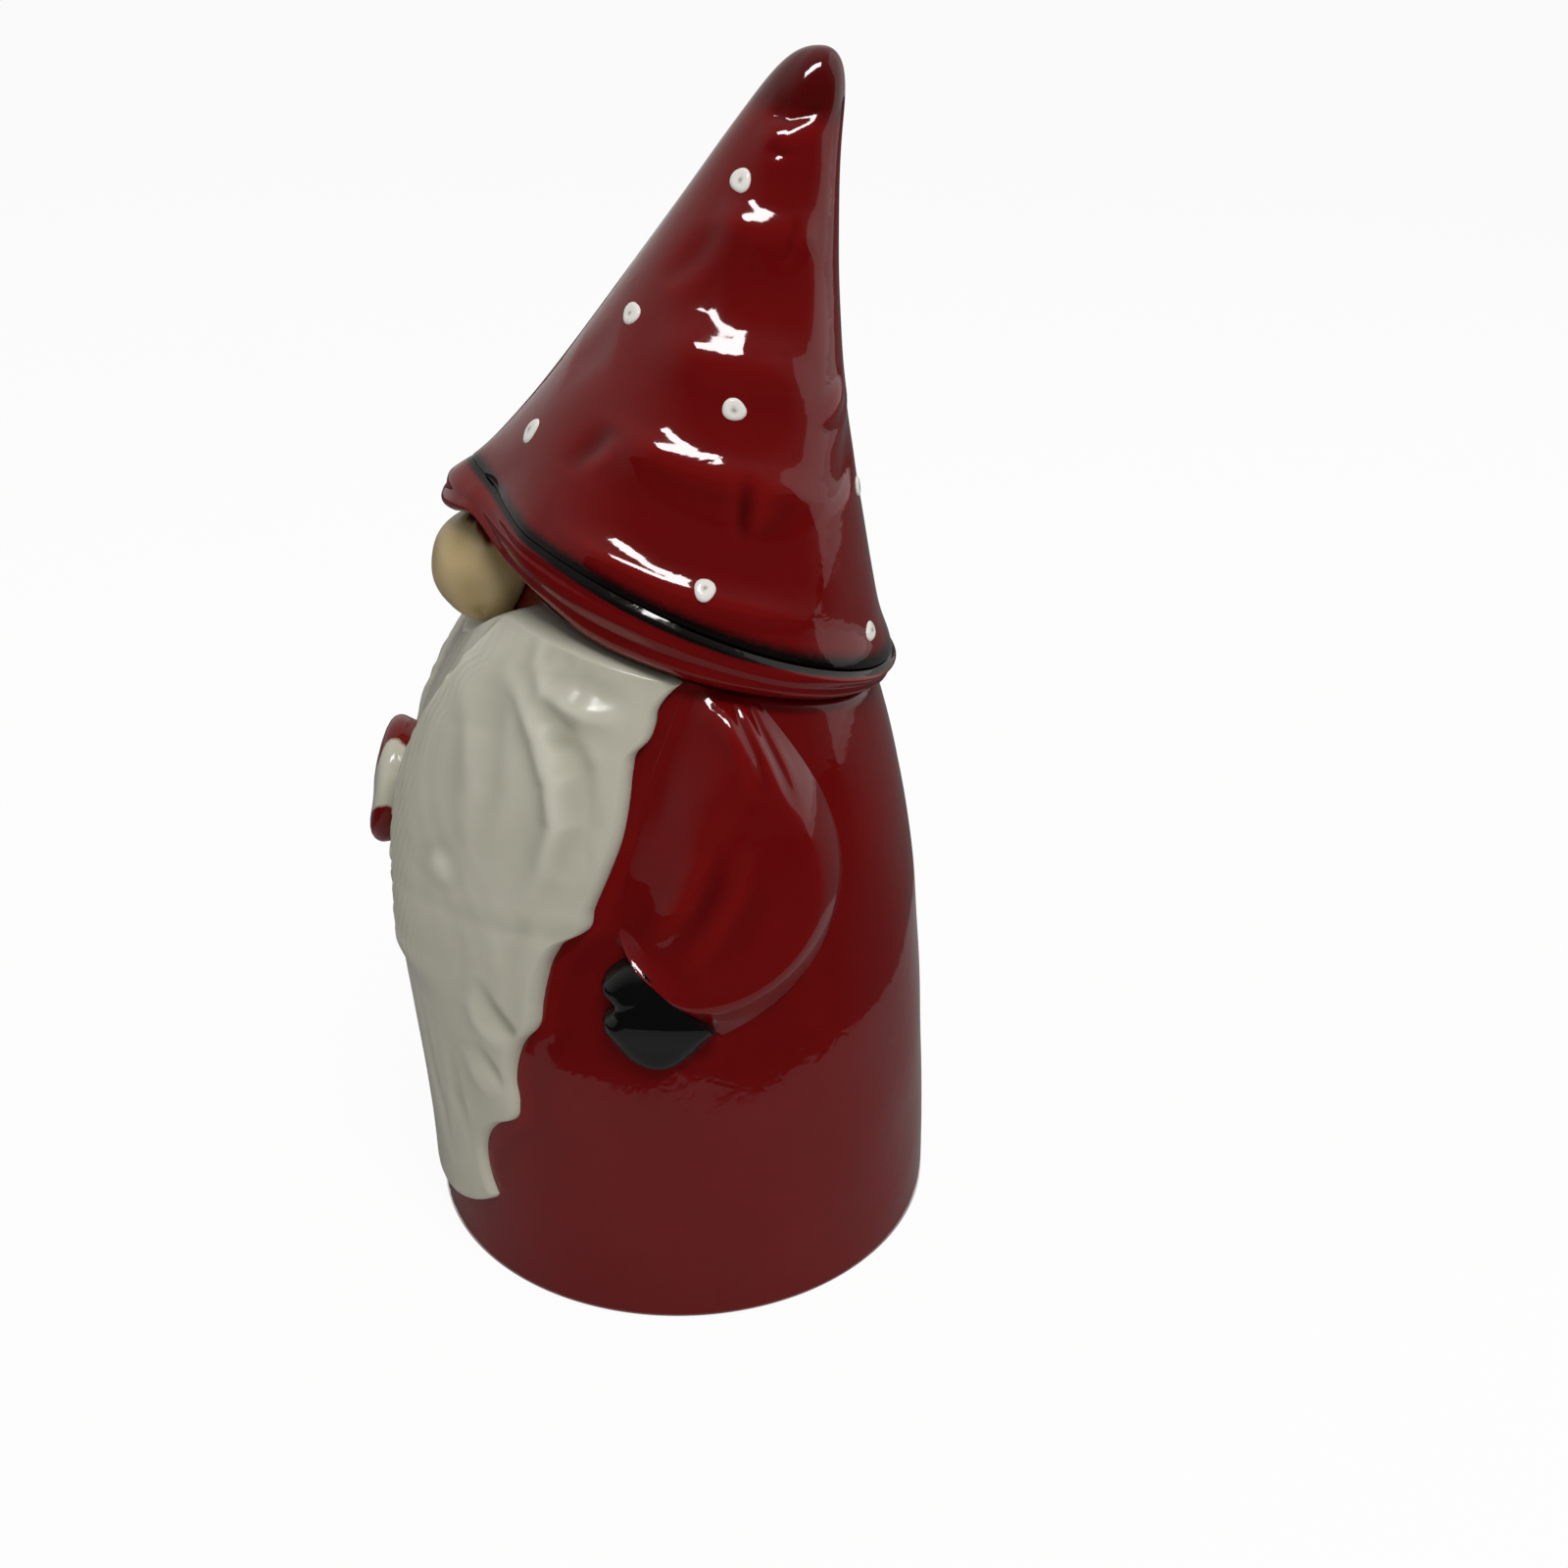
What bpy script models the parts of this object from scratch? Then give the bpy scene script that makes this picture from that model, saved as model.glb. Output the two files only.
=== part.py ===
"""Gnome cookie jar: a glazed earthenware jar whose pointed hat lifts off as the lid.

The figure faces -Y and its left side is at +X. Angles round the jar are measured from the front.
Sizes are in metres, and heights are above the table unless a name says otherwise.
"""

import math

import bmesh
import bpy
import numpy as np
from mathutils import Vector
from mathutils.geometry import interpolate_bezier

MM = 0.001
DEGREE = math.pi / 180

# Fits
JOIN_GAP = 0.3 * MM  # between pieces that are joined before firing, and between lid and rim
EDGE_GAP = 0.6 * MM  # between pieces that meet along a curved edge
COLLAR_CLEARANCE = 1.5 * MM  # loose fit of the lid's collar in the mouth

# Jar
BASE_RADIUS = 66 * MM
SIDE_DRAW = 4 * MM  # how far the side leans in on its way up
SIDE_HEIGHT = 76 * MM
SHOULDER_DRAW = 6 * MM
SHOULDER_HEIGHT = 122 * MM
CROWN_RADIUS = 37 * MM
CROWN_RISE = 10 * MM  # end of the wall's curve above the middle of the mouth
WALL = 5 * MM
FLOOR = 7 * MM
FLOOR_CORNER = 8 * MM
FOOT_EDGE = 1 * MM
FOOT_RING = 9 * MM
FOOT_RECESS = 2 * MM
MOUTH_HEIGHT = 161.1 * MM  # on the jar's axis
MOUTH_SLOPE = 0.305  # the mouth rises towards the front

# Hat: the painted line at the foot of the cone is placed from the jar's rim
LINE_FRONT_OVERHANG = 10.3 * MM
LINE_FRONT_RISE = 24.6 * MM
LINE_BACK_OVERHANG = 2.3 * MM
LINE_BACK_RISE = 6.2 * MM
LINE_SIDE_OVERHANG = 4 * MM
HAT_HEIGHT = 125.3 * MM  # tip above the middle of the mouth
TIP_SETBACK = 29.5 * MM
STUB_FRONT_RUN = 14.5 * MM  # the blunt stub that ends the cone, measured from the tip
STUB_FRONT_DROP = 10.9 * MM
STUB_BACK_RUN = 5.3 * MM
STUB_BACK_DROP = 14.4 * MM
STUB_ROUND = 5.5 * MM
STUB_BACK_ROUND = 8.6 * MM
FRONT_FOOT_RUN = 14.8 * MM  # first stretch of the cone's front
FRONT_FOOT_RISE = 14.2 * MM
FRONT_SLOPE = 1.33
FRONT_REACH = 21 * MM
BACK_FLARE = 7.4 * MM  # first stretch of the cone's back
BACK_FLARE_RISE = 37 * MM
BACK_WAIST = 2.3 * MM
BACK_WAIST_DROP = 47 * MM
HAT_WALL = 5 * MM
SKIRT_INSET = 0.6 * MM
BEAK_RISE = 1.8 * MM  # the painted line rises and draws in to a beak over the nose
BEAK_PINCH = 0.6  # share of the width drawn in
BEAK_REACH = ((0, 1), (12, 0.97), (22, 0.83), (29, 0.67), (36, 0.3), (43, 0.03), (50, 0))  # degrees, share
BEAK_FADE = 0.22  # share of the way up at which the beak has died out
FOLD_HEIGHT = 2 * MM  # slouched folds round both sides of the hat
FOLD_REACH = ((46, 0), (70, 1), (104, 1), (134, 0))  # degrees from the front, share of the height
HAT_FOLDS = (  # share of the way up, share of the height: ridges above zero and hollows below
    (0, 0),
    (0.06, 0.75),
    (0.12, -0.3),
    (0.165, -0.65),
    (0.22, -0.5),
    (0.29, 0.85),
    (0.335, 0.2),
    (0.385, -0.05),
    (0.46, 0.7),
    (0.51, -0.25),
    (0.56, -0.85),
    (0.61, -0.6),
    (0.67, 0.65),
    (0.715, 0.2),
    (0.81, 0.3),
    (0.845, -0.35),
    (0.89, 0.05),
    (0.94, 0.1),
    (0.985, 0),
)

# Brim
BRIM_SEAT = 3 * MM  # depth of the ledge that the brim's top lies against
BRIM_BULGE = 2 * MM
VISOR_BULGE = 4.5 * MM  # the brim's rounder face over the nose
LIP_CLEARANCE = 0.8 * MM
LIP_RISE = 16.7 * MM  # the brim's lower lip arches over the nose
LIP_ARCH = (  # degrees from the front, share of the rise
    (0, 0.84),
    (10, 0.88),
    (20, 0.98),
    (27, 1),
    (31, 0.85),
    (35, 0.6),
    (40, 0.42),
    (45, 0.3),
    (50, 0.18),
    (55, 0.09),
    (60, 0.03),
    (67, 0),
)
LIP_THICKNESS = 3 * MM
BACK_LIP_THICKNESS = 1.8 * MM
BACK_LIP_REACH = ((97, 0), (149, 1))  # degrees from the front, share of the change
VISOR_THICKNESS = 12.5 * MM  # the brim stands out like a visor over the nose
VISOR_ANGLE = 55 * DEGREE

# Lid collar
COLLAR_RISE = 7 * MM
COLLAR_DEPTH = 10 * MM
COLLAR_WALL = 4 * MM

# Nose
NOSE_RADIUS = 13.8 * MM
NOSE_STANDOFF = 8 * MM  # nose centre in front of the lid's wall

# Beard
BEARD_BOTTOM = 8 * MM
BEARD_CORNER = 17 * MM
BEARD_LOW_ANGLE = 42 * DEGREE
BEARD_TOP_ANGLE = 88 * DEGREE
BEARD_LOW_THICKNESS = 1.8 * MM
BEARD_TOP_THICKNESS = 8.5 * MM
BEARD_SWELL = 8.2 * MM
BEARD_SWELL_BIAS = 1.6  # above 1 the fullest part lies above the middle
BEARD_EDGE = 2.2 * MM
BEARD_FALL = 2.2  # how late the beard thins towards its edge
LOCK_STEP = 3.2 * MM  # the side locks stand above the middle of the beard
LOCK_RAMP = 3 * MM
LOCK_WIDTH = 26 * MM
LOCK_EDGE = (  # share of the mouth's height, degrees from the front
    (0.43, 17),
    (0.55, 18.5),
    (0.71, 16),
    (0.83, 15.5),
    (0.91, 19),
    (0.98, 25),
    (1.07, 32),
)
LOCK_REACH = ((0.45, 0), (0.54, 1), (0.98, 1), (1.06, 0))  # share of the mouth's height, share of the step
NOSE_NOTCH_ANGLE = 36 * DEGREE
NOSE_NOTCH_SPARE = 1.5 * MM

# Arms: drops are below the middle of the mouth
SHOULDER_BACK_ANGLE = 111 * DEGREE
UPPER_ARM_ANGLE = 132 * DEGREE
UPPER_ARM_DROP = 29 * MM
ELBOW_ANGLE = 145 * DEGREE
ELBOW_DROP = 59 * MM
WRIST_ANGLE = 88.8 * DEGREE
WRIST_DROP = 70.5 * MM
FOREARM_FALL = 43 * DEGREE  # the forearm points forwards and down
CUFF_WIDTH = 24 * MM
SHOULDER_THICKNESS = 4.5 * MM
SLEEVE_THICKNESS = 8 * MM
SLEEVE_EDGE = 2 * MM
SLEEVE_FULL = 0.6  # share of the way to the cuff at which the sleeve is thickest
ARM_FALL = 2.4  # how late a sleeve or mitten thins towards its edge
MITTEN_LENGTH = 19 * MM
MITTEN_WIDTH = 25 * MM
THUMB_BULGE = 2.4 * MM
THUMB_TURN = 105 * DEGREE
THUMB_HALF_ANGLE = 40 * DEGREE
THUMB_NOTCH = 2.8 * MM
NOTCH_TURN = 55 * DEGREE
NOTCH_HALF_ANGLE = 25 * DEGREE
MITTEN_THICKNESS = 6.5 * MM
MITTEN_EDGE = 2.5 * MM

# Candy
CANDY_RADIUS = 16 * MM
CANDY_DROP = 45 * MM  # below the middle of the mouth
CANDY_THICKNESS = 6.5 * MM
CANDY_TILT = 11 * DEGREE

# Dots: degrees from the front, and place up the cone from 0 at the line to 1 at the tip
DOT_RADIUS = 2.6 * MM
DOT_HEIGHT = 1 * MM
SIDE_DOTS = ((58, 0.73), (34, 0.47), (94, 0.41), (22, 0.19), (94, 0.09), (154, 0.06))
BACK_DOT = (170, 0.31)

# Facets
SEGMENTS = 40
PROFILE_STEPS = 80
SOLVER_STEPS = 12
WALL_STEPS = 10
HAT_INNER_STEPS = 6
HAT_INNER_END = 0.6
CONE_SHARE = 0.85  # share of the way up the hat at which the stub starts
ROUND_SHARE = 0.3  # share from which the cone is as wide as it is deep
BRIM_STEPS = 5
BEARD_COLUMNS = 44
BEARD_ROWS = 22
SLEEVE_COLUMNS = 10
SLEEVE_ROWS = 12
MITTEN_ROWS = 8
SEAT_STEPS = 4
NOSE_SEGMENTS = 20
NOSE_RINGS = 14
SMOOTH_ANGLE = 40 * DEGREE
NORMAL_STEP = 0.01  # of the turn and of the way up, for the direction of a surface

RED = "8A1418"
WHITE = "D3D0C6"
TAN = "C6A678"
BLACK = "0B0B0B"
DOT_WHITE = "E9E6DE"

HALF_ROUND = 1 - math.sqrt(0.5)  # share of a rounding's radius that its middle lies in from the corner


def linear(value):
    """One sRGB channel, 0 to 1, as linear light."""
    return value / 12.92 if value <= 0.04045 else ((value + 0.055) / 1.055) ** 2.4


def glaze(name, hex_colour, roughness):
    material = bpy.data.materials.new(name)
    material.use_nodes = True
    shader = material.node_tree.nodes["Principled BSDF"]
    channels = [linear(int(hex_colour[i : i + 2], 16) / 255) for i in (0, 2, 4)]
    shader.inputs["Base Color"].default_value = (*channels, 1)
    shader.inputs["Roughness"].default_value = roughness
    shader.inputs["Metallic"].default_value = 0
    return material


def new_piece(name, builder, material, parent):
    """Object of that name from a filled bmesh, with its faces pointing out."""
    bmesh.ops.recalc_face_normals(builder, faces=builder.faces)
    mesh = bpy.data.meshes.new(name)
    builder.to_mesh(mesh)
    builder.free()
    mesh.shade_smooth()
    mesh.set_sharp_from_angle(angle=SMOOTH_ANGLE)
    mesh.materials.append(material)
    piece = bpy.data.objects.new(name, mesh)
    bpy.context.scene.collection.objects.link(piece)
    piece.parent = parent
    return piece


def new_empty(name, location, parent=None):
    empty = bpy.data.objects.new(name, None)
    bpy.context.scene.collection.objects.link(empty)
    empty.location = location
    empty.parent = parent
    return empty


def cut(piece, cutter):
    """Takes the cutter's shape out of the piece, and keeps the cutter out of sight."""
    cutter.hide_render = True
    cutter.display_type = "WIRE"
    modifier = piece.modifiers.new("seat", "BOOLEAN")
    modifier.operation = "DIFFERENCE"
    modifier.solver = "EXACT"
    modifier.object = cutter


def lofted(rings, closed=False):
    """Skin through rings of equal length: closed joins the last ring to the first, or both get a cap."""
    builder = bmesh.new()
    loops = [[builder.verts.new(point) for point in ring] for ring in rings]
    pairs = list(zip(loops, loops[1:]))
    if closed:
        pairs.append((loops[-1], loops[0]))
    for lower, upper in pairs:
        for i in range(len(lower)):
            builder.faces.new((lower[i - 1], lower[i], upper[i], upper[i - 1]))
    if not closed:
        builder.faces.new(loops[0])
        builder.faces.new(loops[-1])
    return builder


def mix(first, last, share):
    return first + (last - first) * share


def fractions(count):
    return [i / count for i in range(count + 1)]


def direction(angle):
    return Vector((math.sin(angle), -math.cos(angle), 0))


def upward(height):
    return Vector((0, 0, height))


def bump(angle, half_angle):
    """1 in front, falling smoothly to 0 at half_angle on either side."""
    turn = abs(math.remainder(angle, 2 * math.pi))
    return math.cos(turn / half_angle * math.pi / 2) ** 2 if turn < half_angle else 0.0


def reading(table, place):
    """Value at that place of a table of places and values, straight from one entry to the next."""
    return float(np.interp(place, *zip(*table)))


def degrees_from_front(angle):
    return abs(math.remainder(angle, 2 * math.pi)) / DEGREE


def bezier_point(corners, share):
    a, b, c, d = corners
    rest = 1 - share
    return a * rest**3 + b * 3 * rest**2 * share + c * 3 * rest * share**2 + d * share**3


RING_ANGLES = [2 * math.pi * i / SEGMENTS for i in range(SEGMENTS)]
JAR_PROFILE = interpolate_bezier(
    Vector((BASE_RADIUS, 0, 0)),
    Vector((BASE_RADIUS - SIDE_DRAW, 0, SIDE_HEIGHT)),
    Vector((BASE_RADIUS - SHOULDER_DRAW, 0, SHOULDER_HEIGHT)),
    Vector((CROWN_RADIUS, 0, MOUTH_HEIGHT + CROWN_RISE)),
    PROFILE_STEPS,
)
PROFILE_RADII = [point.x for point in JAR_PROFILE]
PROFILE_HEIGHTS = [point.z for point in JAR_PROFILE]


def jar_radius(height):
    return float(np.interp(height, PROFILE_HEIGHTS, PROFILE_RADII))


def on_wall(angle, height, offset=0.0):
    return direction(angle) * (jar_radius(height) + offset) + upward(height)


def mouth_plane(point, lift=0.0):
    """The point moved up or down onto the mouth's plane, or to that height above it."""
    return Vector((point.x, point.y, MOUTH_HEIGHT + lift - MOUTH_SLOPE * point.y))


def wall_top(angle, inset=0.0):
    """Where the jar's wall, drawn in by inset, meets the mouth's plane."""
    point = on_wall(angle, MOUTH_HEIGHT, -inset)
    for _ in range(SOLVER_STEPS):
        point = on_wall(angle, mouth_plane(point).z, -inset)
    return mouth_plane(point)


def circle(radius, height):
    return [direction(angle) * radius + upward(height) for angle in RING_ANGLES]


def jar_body():
    """Rings from the recess under the foot, up the outside, over the rim and down to the floor."""
    foot_inner = BASE_RADIUS - FOOT_EDGE - FOOT_RING
    rings = [
        circle(foot_inner - FOOT_RECESS, FOOT_RECESS),
        circle(foot_inner, 0),
        circle(BASE_RADIUS - FOOT_EDGE, 0),
        circle(BASE_RADIUS - FOOT_EDGE * HALF_ROUND, FOOT_EDGE * HALF_ROUND),
    ]
    tops = [wall_top(angle).z for angle in RING_ANGLES]
    inner_tops = [wall_top(angle, WALL).z for angle in RING_ANGLES]
    for share in fractions(WALL_STEPS):
        rings.append([on_wall(a, mix(FOOT_EDGE, top, share)) for a, top in zip(RING_ANGLES, tops)])
    floor_top = FLOOR + FLOOR_CORNER
    for share in fractions(WALL_STEPS):
        rings.append(
            [on_wall(a, mix(top, floor_top, share), -WALL) for a, top in zip(RING_ANGLES, inner_tops)]
        )
    inner_radius = jar_radius(floor_top) - WALL
    rings.append(circle(inner_radius - FLOOR_CORNER * HALF_ROUND, FLOOR + FLOOR_CORNER * HALF_ROUND))
    rings.append(circle(inner_radius - FLOOR_CORNER, FLOOR))
    return lofted(rings)


LINE_FRONT = wall_top(0) + Vector((0, -LINE_FRONT_OVERHANG, LINE_FRONT_RISE))
LINE_BACK = wall_top(math.pi) + Vector((0, LINE_BACK_OVERHANG, LINE_BACK_RISE))
LINE_HALF_WIDTH = wall_top(math.pi / 2).x + LINE_SIDE_OVERHANG
LINE_HALF_LENGTH = (LINE_FRONT - LINE_BACK).length / 2
TIP = Vector((0, TIP_SETBACK, MOUTH_HEIGHT + HAT_HEIGHT))
STUB_FRONT = TIP - Vector((0, STUB_FRONT_RUN, STUB_FRONT_DROP))
STUB_BACK = TIP + Vector((0, STUB_BACK_RUN, -STUB_BACK_DROP))
FRONT_TANGENT = Vector((0, 1, FRONT_SLOPE))
BACK_TANGENT = Vector((0, BACK_WAIST, BACK_WAIST_DROP))
FRONT_CONE = (
    LINE_FRONT,
    LINE_FRONT + Vector((0, FRONT_FOOT_RUN, FRONT_FOOT_RISE)),
    STUB_FRONT - FRONT_TANGENT * FRONT_REACH,
    STUB_FRONT,
)
FRONT_STUB = (
    STUB_FRONT,
    STUB_FRONT + FRONT_TANGENT * STUB_ROUND,
    TIP - Vector((0, STUB_ROUND, 0)),
    TIP,
)
BACK_CONE = (
    LINE_BACK,
    LINE_BACK + Vector((0, -BACK_FLARE, BACK_FLARE_RISE)),
    STUB_BACK - BACK_TANGENT,
    STUB_BACK,
)
BACK_STUB = (
    STUB_BACK,
    STUB_BACK + BACK_TANGENT.normalized() * STUB_BACK_ROUND,
    TIP + Vector((0, STUB_ROUND, 0)),
    TIP,
)


def hat_side(cone, stub, share):
    if share < CONE_SHARE:
        return bezier_point(cone, share / CONE_SHARE)
    return bezier_point(stub, (share - CONE_SHARE) / (1 - CONE_SHARE))


def hat_point(angle, share, inset=0.0):
    """Point of the hat: share 0 is the painted line and 1 the tip, and inset draws the ring in."""
    front = hat_side(FRONT_CONE, FRONT_STUB, share)
    back = hat_side(BACK_CONE, BACK_STUB, share)
    half = (front - back) / 2
    flatness = mix(LINE_HALF_WIDTH / LINE_HALF_LENGTH, 1, min(share / ROUND_SHARE, 1))
    across = half.length * flatness - inset
    along = half * (1 - inset / half.length)
    beak = max(1 - share / BEAK_FADE, 0) ** 2 * reading(BEAK_REACH, degrees_from_front(angle))
    side = across * math.sin(angle) * (1 - BEAK_PINCH * beak)
    return (front + back) / 2 + along * math.cos(angle) + Vector((side, 0, BEAK_RISE * beak))


def surface_normal(surface, angle, share):
    along = surface(angle, share + NORMAL_STEP) - surface(angle, share - NORMAL_STEP)
    around = surface(angle + NORMAL_STEP, share) - surface(angle - NORMAL_STEP, share)
    return around.cross(along).normalized()


def hat_outside(angle, share):
    """Point on the folded outside of the hat."""
    reach = reading(FOLD_REACH, degrees_from_front(angle))
    height = FOLD_HEIGHT * reach * reading(HAT_FOLDS, share)
    return hat_point(angle, share) + surface_normal(hat_point, angle, share) * height


def skirt_bottom(angle):
    """Outer foot of the lid's wall, just above the jar's rim."""
    return mouth_plane(wall_top(angle, SKIRT_INSET), JOIN_GAP)


def skirt_top(angle):
    return hat_point(angle, 0, BRIM_SEAT)


def skirt_at(angle, height):
    """Point of the lid's wall behind the brim, at that height."""
    bottom = skirt_bottom(angle)
    top = skirt_top(angle)
    return mix(bottom, top, (height - bottom.z) / (top.z - bottom.z))


def collar_plan(angle, inset=0.0):
    return wall_top(angle, WALL + COLLAR_CLEARANCE + inset)


def hat_shell():
    """Rings from the tip down the outside, in behind the brim, round the foot and up the inside."""
    rings = []
    for share, _ in reversed(HAT_FOLDS):
        rings.append([hat_outside(angle, share) for angle in RING_ANGLES])
    rings.append([skirt_top(angle) for angle in RING_ANGLES])
    rings.append([skirt_bottom(angle) for angle in RING_ANGLES])
    bore = [collar_plan(angle, -JOIN_GAP) for angle in RING_ANGLES]
    rings.append([mouth_plane(point, JOIN_GAP) for point in bore])
    rings.append([mouth_plane(point, COLLAR_RISE + JOIN_GAP) for point in bore])
    for share in fractions(HAT_INNER_STEPS)[1:]:
        rings.append([hat_point(angle, share * HAT_INNER_END, HAT_WALL) for angle in RING_ANGLES])
    return lofted(rings)


def lid_collar():
    corners = (
        (0, COLLAR_RISE),
        (0, -COLLAR_DEPTH),
        (COLLAR_WALL, -COLLAR_DEPTH),
        (COLLAR_WALL, COLLAR_RISE),
    )
    rings = []
    for inset, lift in corners:
        rings.append([mouth_plane(collar_plan(angle, inset), lift) for angle in RING_ANGLES])
    return lofted(rings, closed=True)


def lip_height(angle):
    """Height of the brim's lower lip."""
    return wall_top(angle).z + LIP_CLEARANCE + LIP_RISE * reading(LIP_ARCH, degrees_from_front(angle))


NOSE_HEIGHT = lip_height(0) - EDGE_GAP - NOSE_RADIUS
NOSE_CENTRE = skirt_at(0, NOSE_HEIGHT) - Vector((0, NOSE_STANDOFF, 0))


def brim_section(angle):
    """Points round the rolled brim: up its back along the lid's wall, then down its bulging face."""
    out = direction(angle)
    back_low = skirt_at(angle, lip_height(angle)) + out * EDGE_GAP
    back_top = skirt_top(angle) + out * EDGE_GAP - upward(EDGE_GAP)
    face_top = hat_point(angle, 0) - upward(JOIN_GAP)
    behind = reading(BACK_LIP_REACH, degrees_from_front(angle))
    lip = mix(LIP_THICKNESS, BACK_LIP_THICKNESS, behind)
    visor = bump(angle, VISOR_ANGLE)
    face_low = back_low + out * mix(lip, VISOR_THICKNESS, visor)
    bulge = mix(BRIM_BULGE, VISOR_BULGE, visor)
    face = [
        mix(face_top, face_low, share) + out * bulge * math.sin(math.pi * share)
        for share in fractions(BRIM_STEPS)
    ]
    return [back_low, back_top] + face


def hat_brim():
    return lofted([brim_section(angle) for angle in RING_ANGLES], closed=True)


def nose_ball():
    builder = bmesh.new()
    bmesh.ops.create_uvsphere(builder, u_segments=NOSE_SEGMENTS, v_segments=NOSE_RINGS, radius=NOSE_RADIUS)
    return builder


def nose_seat():
    """Outside of the jar's top and of the lid's wall, one join gap oversize."""
    low = NOSE_CENTRE.z - 2 * NOSE_RADIUS
    rings = []
    for share in fractions(SEAT_STEPS):
        rings.append([on_wall(a, mix(low, wall_top(a).z, share), JOIN_GAP) for a in RING_ANGLES])
    rings.append([skirt_bottom(a) + direction(a) * JOIN_GAP for a in RING_ANGLES])
    rings.append([skirt_top(a) + direction(a) * JOIN_GAP for a in RING_ANGLES])
    return lofted(rings)


def relief(place, stand, columns, rows):
    """Closed pad on the jar's wall: place(u, v) is an angle and a height, stand(u, v) its thickness."""
    builder = bmesh.new()
    grids = []
    for offset in (lambda u, v: JOIN_GAP, stand):
        grid = []
        for v in fractions(rows):
            points = [on_wall(*place(u, v), offset(u, v)) for u in fractions(columns)]
            grid.append([builder.verts.new(point) for point in points])
        grids.append(grid)
    borders = []
    for grid in grids:
        for low, high in zip(grid, grid[1:]):
            for i in range(columns):
                builder.faces.new((low[i], low[i + 1], high[i + 1], high[i]))
        right = [row[-1] for row in grid[1:-1]]
        left = [row[0] for row in reversed(grid[1:-1])]
        borders.append(grid[0] + right + grid[-1][::-1] + left)
    inner, outer = borders
    for i in range(len(inner)):
        builder.faces.new((inner[i - 1], inner[i], outer[i], outer[i - 1]))
    return builder


def beard_edge(height):
    """Angle of the beard's edge at that height."""
    heights = (BEARD_BOTTOM + BEARD_CORNER, MOUTH_HEIGHT)
    return float(np.interp(height, heights, (BEARD_LOW_ANGLE, BEARD_TOP_ANGLE)))


NOTCH_DEPTH = wall_top(0).z - (NOSE_CENTRE.z - NOSE_RADIUS - NOSE_NOTCH_SPARE)


def beard_place(u, v):
    side = 2 * u - 1
    top_angle = side * BEARD_TOP_ANGLE
    low = BEARD_BOTTOM + BEARD_CORNER * abs(side) ** 3
    high = wall_top(top_angle).z - JOIN_GAP - NOTCH_DEPTH * bump(top_angle, NOSE_NOTCH_ANGLE)
    height = mix(low, high, v)
    return side * beard_edge(height), height


def lock_stand(angle, height):
    """How far the side locks stand above the rest of the beard there."""
    level = height / MOUTH_HEIGHT
    past_edge = (abs(angle) - reading(LOCK_EDGE, level) * DEGREE) * jar_radius(height)
    profile = ((-LOCK_RAMP / 2, 0), (LOCK_RAMP / 2, 1), (LOCK_WIDTH, 0))
    return LOCK_STEP * reading(profile, past_edge) * reading(LOCK_REACH, level)


def beard_stand(u, v):
    swell = BEARD_SWELL * math.sin(math.pi * v**BEARD_SWELL_BIAS)
    middle = mix(BEARD_LOW_THICKNESS, BEARD_TOP_THICKNESS, v) + swell
    return mix(middle, BEARD_EDGE, abs(2 * u - 1) ** BEARD_FALL) + lock_stand(*beard_place(u, v))


WRIST_HEIGHT = MOUTH_HEIGHT - WRIST_DROP


def wrist_place(along, across):
    """Angle and height on the wall of a point that far along and across the forearm from the wrist."""
    forward = along * math.cos(FOREARM_FALL) - across * math.sin(FOREARM_FALL)
    down = along * math.sin(FOREARM_FALL) + across * math.cos(FOREARM_FALL)
    return WRIST_ANGLE - forward / jar_radius(WRIST_HEIGHT), WRIST_HEIGHT - down


def sleeve_edge(shoulder_angle, upper_angle, elbow_angle, cuff_across):
    """One edge of the sleeve from the shoulder to the cuff, as corners of angle and height."""
    return (
        Vector((shoulder_angle, wall_top(shoulder_angle).z)),
        Vector((upper_angle, MOUTH_HEIGHT - UPPER_ARM_DROP)),
        Vector((elbow_angle, MOUTH_HEIGHT - ELBOW_DROP)),
        Vector(wrist_place(0, cuff_across)),
    )


SLEEVE_FRONT = sleeve_edge(
    BEARD_TOP_ANGLE,
    beard_edge(MOUTH_HEIGHT - UPPER_ARM_DROP),
    beard_edge(MOUTH_HEIGHT - ELBOW_DROP),
    -CUFF_WIDTH / 2,
)
SLEEVE_BACK = sleeve_edge(SHOULDER_BACK_ANGLE, UPPER_ARM_ANGLE, ELBOW_ANGLE, CUFF_WIDTH / 2)


def sleeve_place(u, v):
    front = bezier_point(SLEEVE_FRONT, v)
    front.x = max(front.x, beard_edge(front.y) + EDGE_GAP / jar_radius(front.y))
    angle, height = mix(front, bezier_point(SLEEVE_BACK, v), u)
    return angle, min(height, wall_top(angle).z - JOIN_GAP)


def sleeve_stand(u, v):
    crest = mix(SHOULDER_THICKNESS, SLEEVE_THICKNESS, math.sin(math.pi / 2 * min(v / SLEEVE_FULL, 1)))
    return mix(crest, SLEEVE_EDGE, abs(2 * u - 1) ** ARM_FALL)


def mitten_reach(turn):
    """Outline of the mitten from its middle: turn 0 is the finger tip, and the thumb lies forwards of it."""
    half_length = MITTEN_LENGTH / 2
    half_width = MITTEN_WIDTH / 2
    oval = half_length * half_width / math.hypot(half_width * math.cos(turn), half_length * math.sin(turn))
    thumb = THUMB_BULGE * bump(turn + THUMB_TURN, THUMB_HALF_ANGLE)
    notch = THUMB_NOTCH * bump(turn + NOTCH_TURN, NOTCH_HALF_ANGLE)
    return oval + thumb - notch


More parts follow.
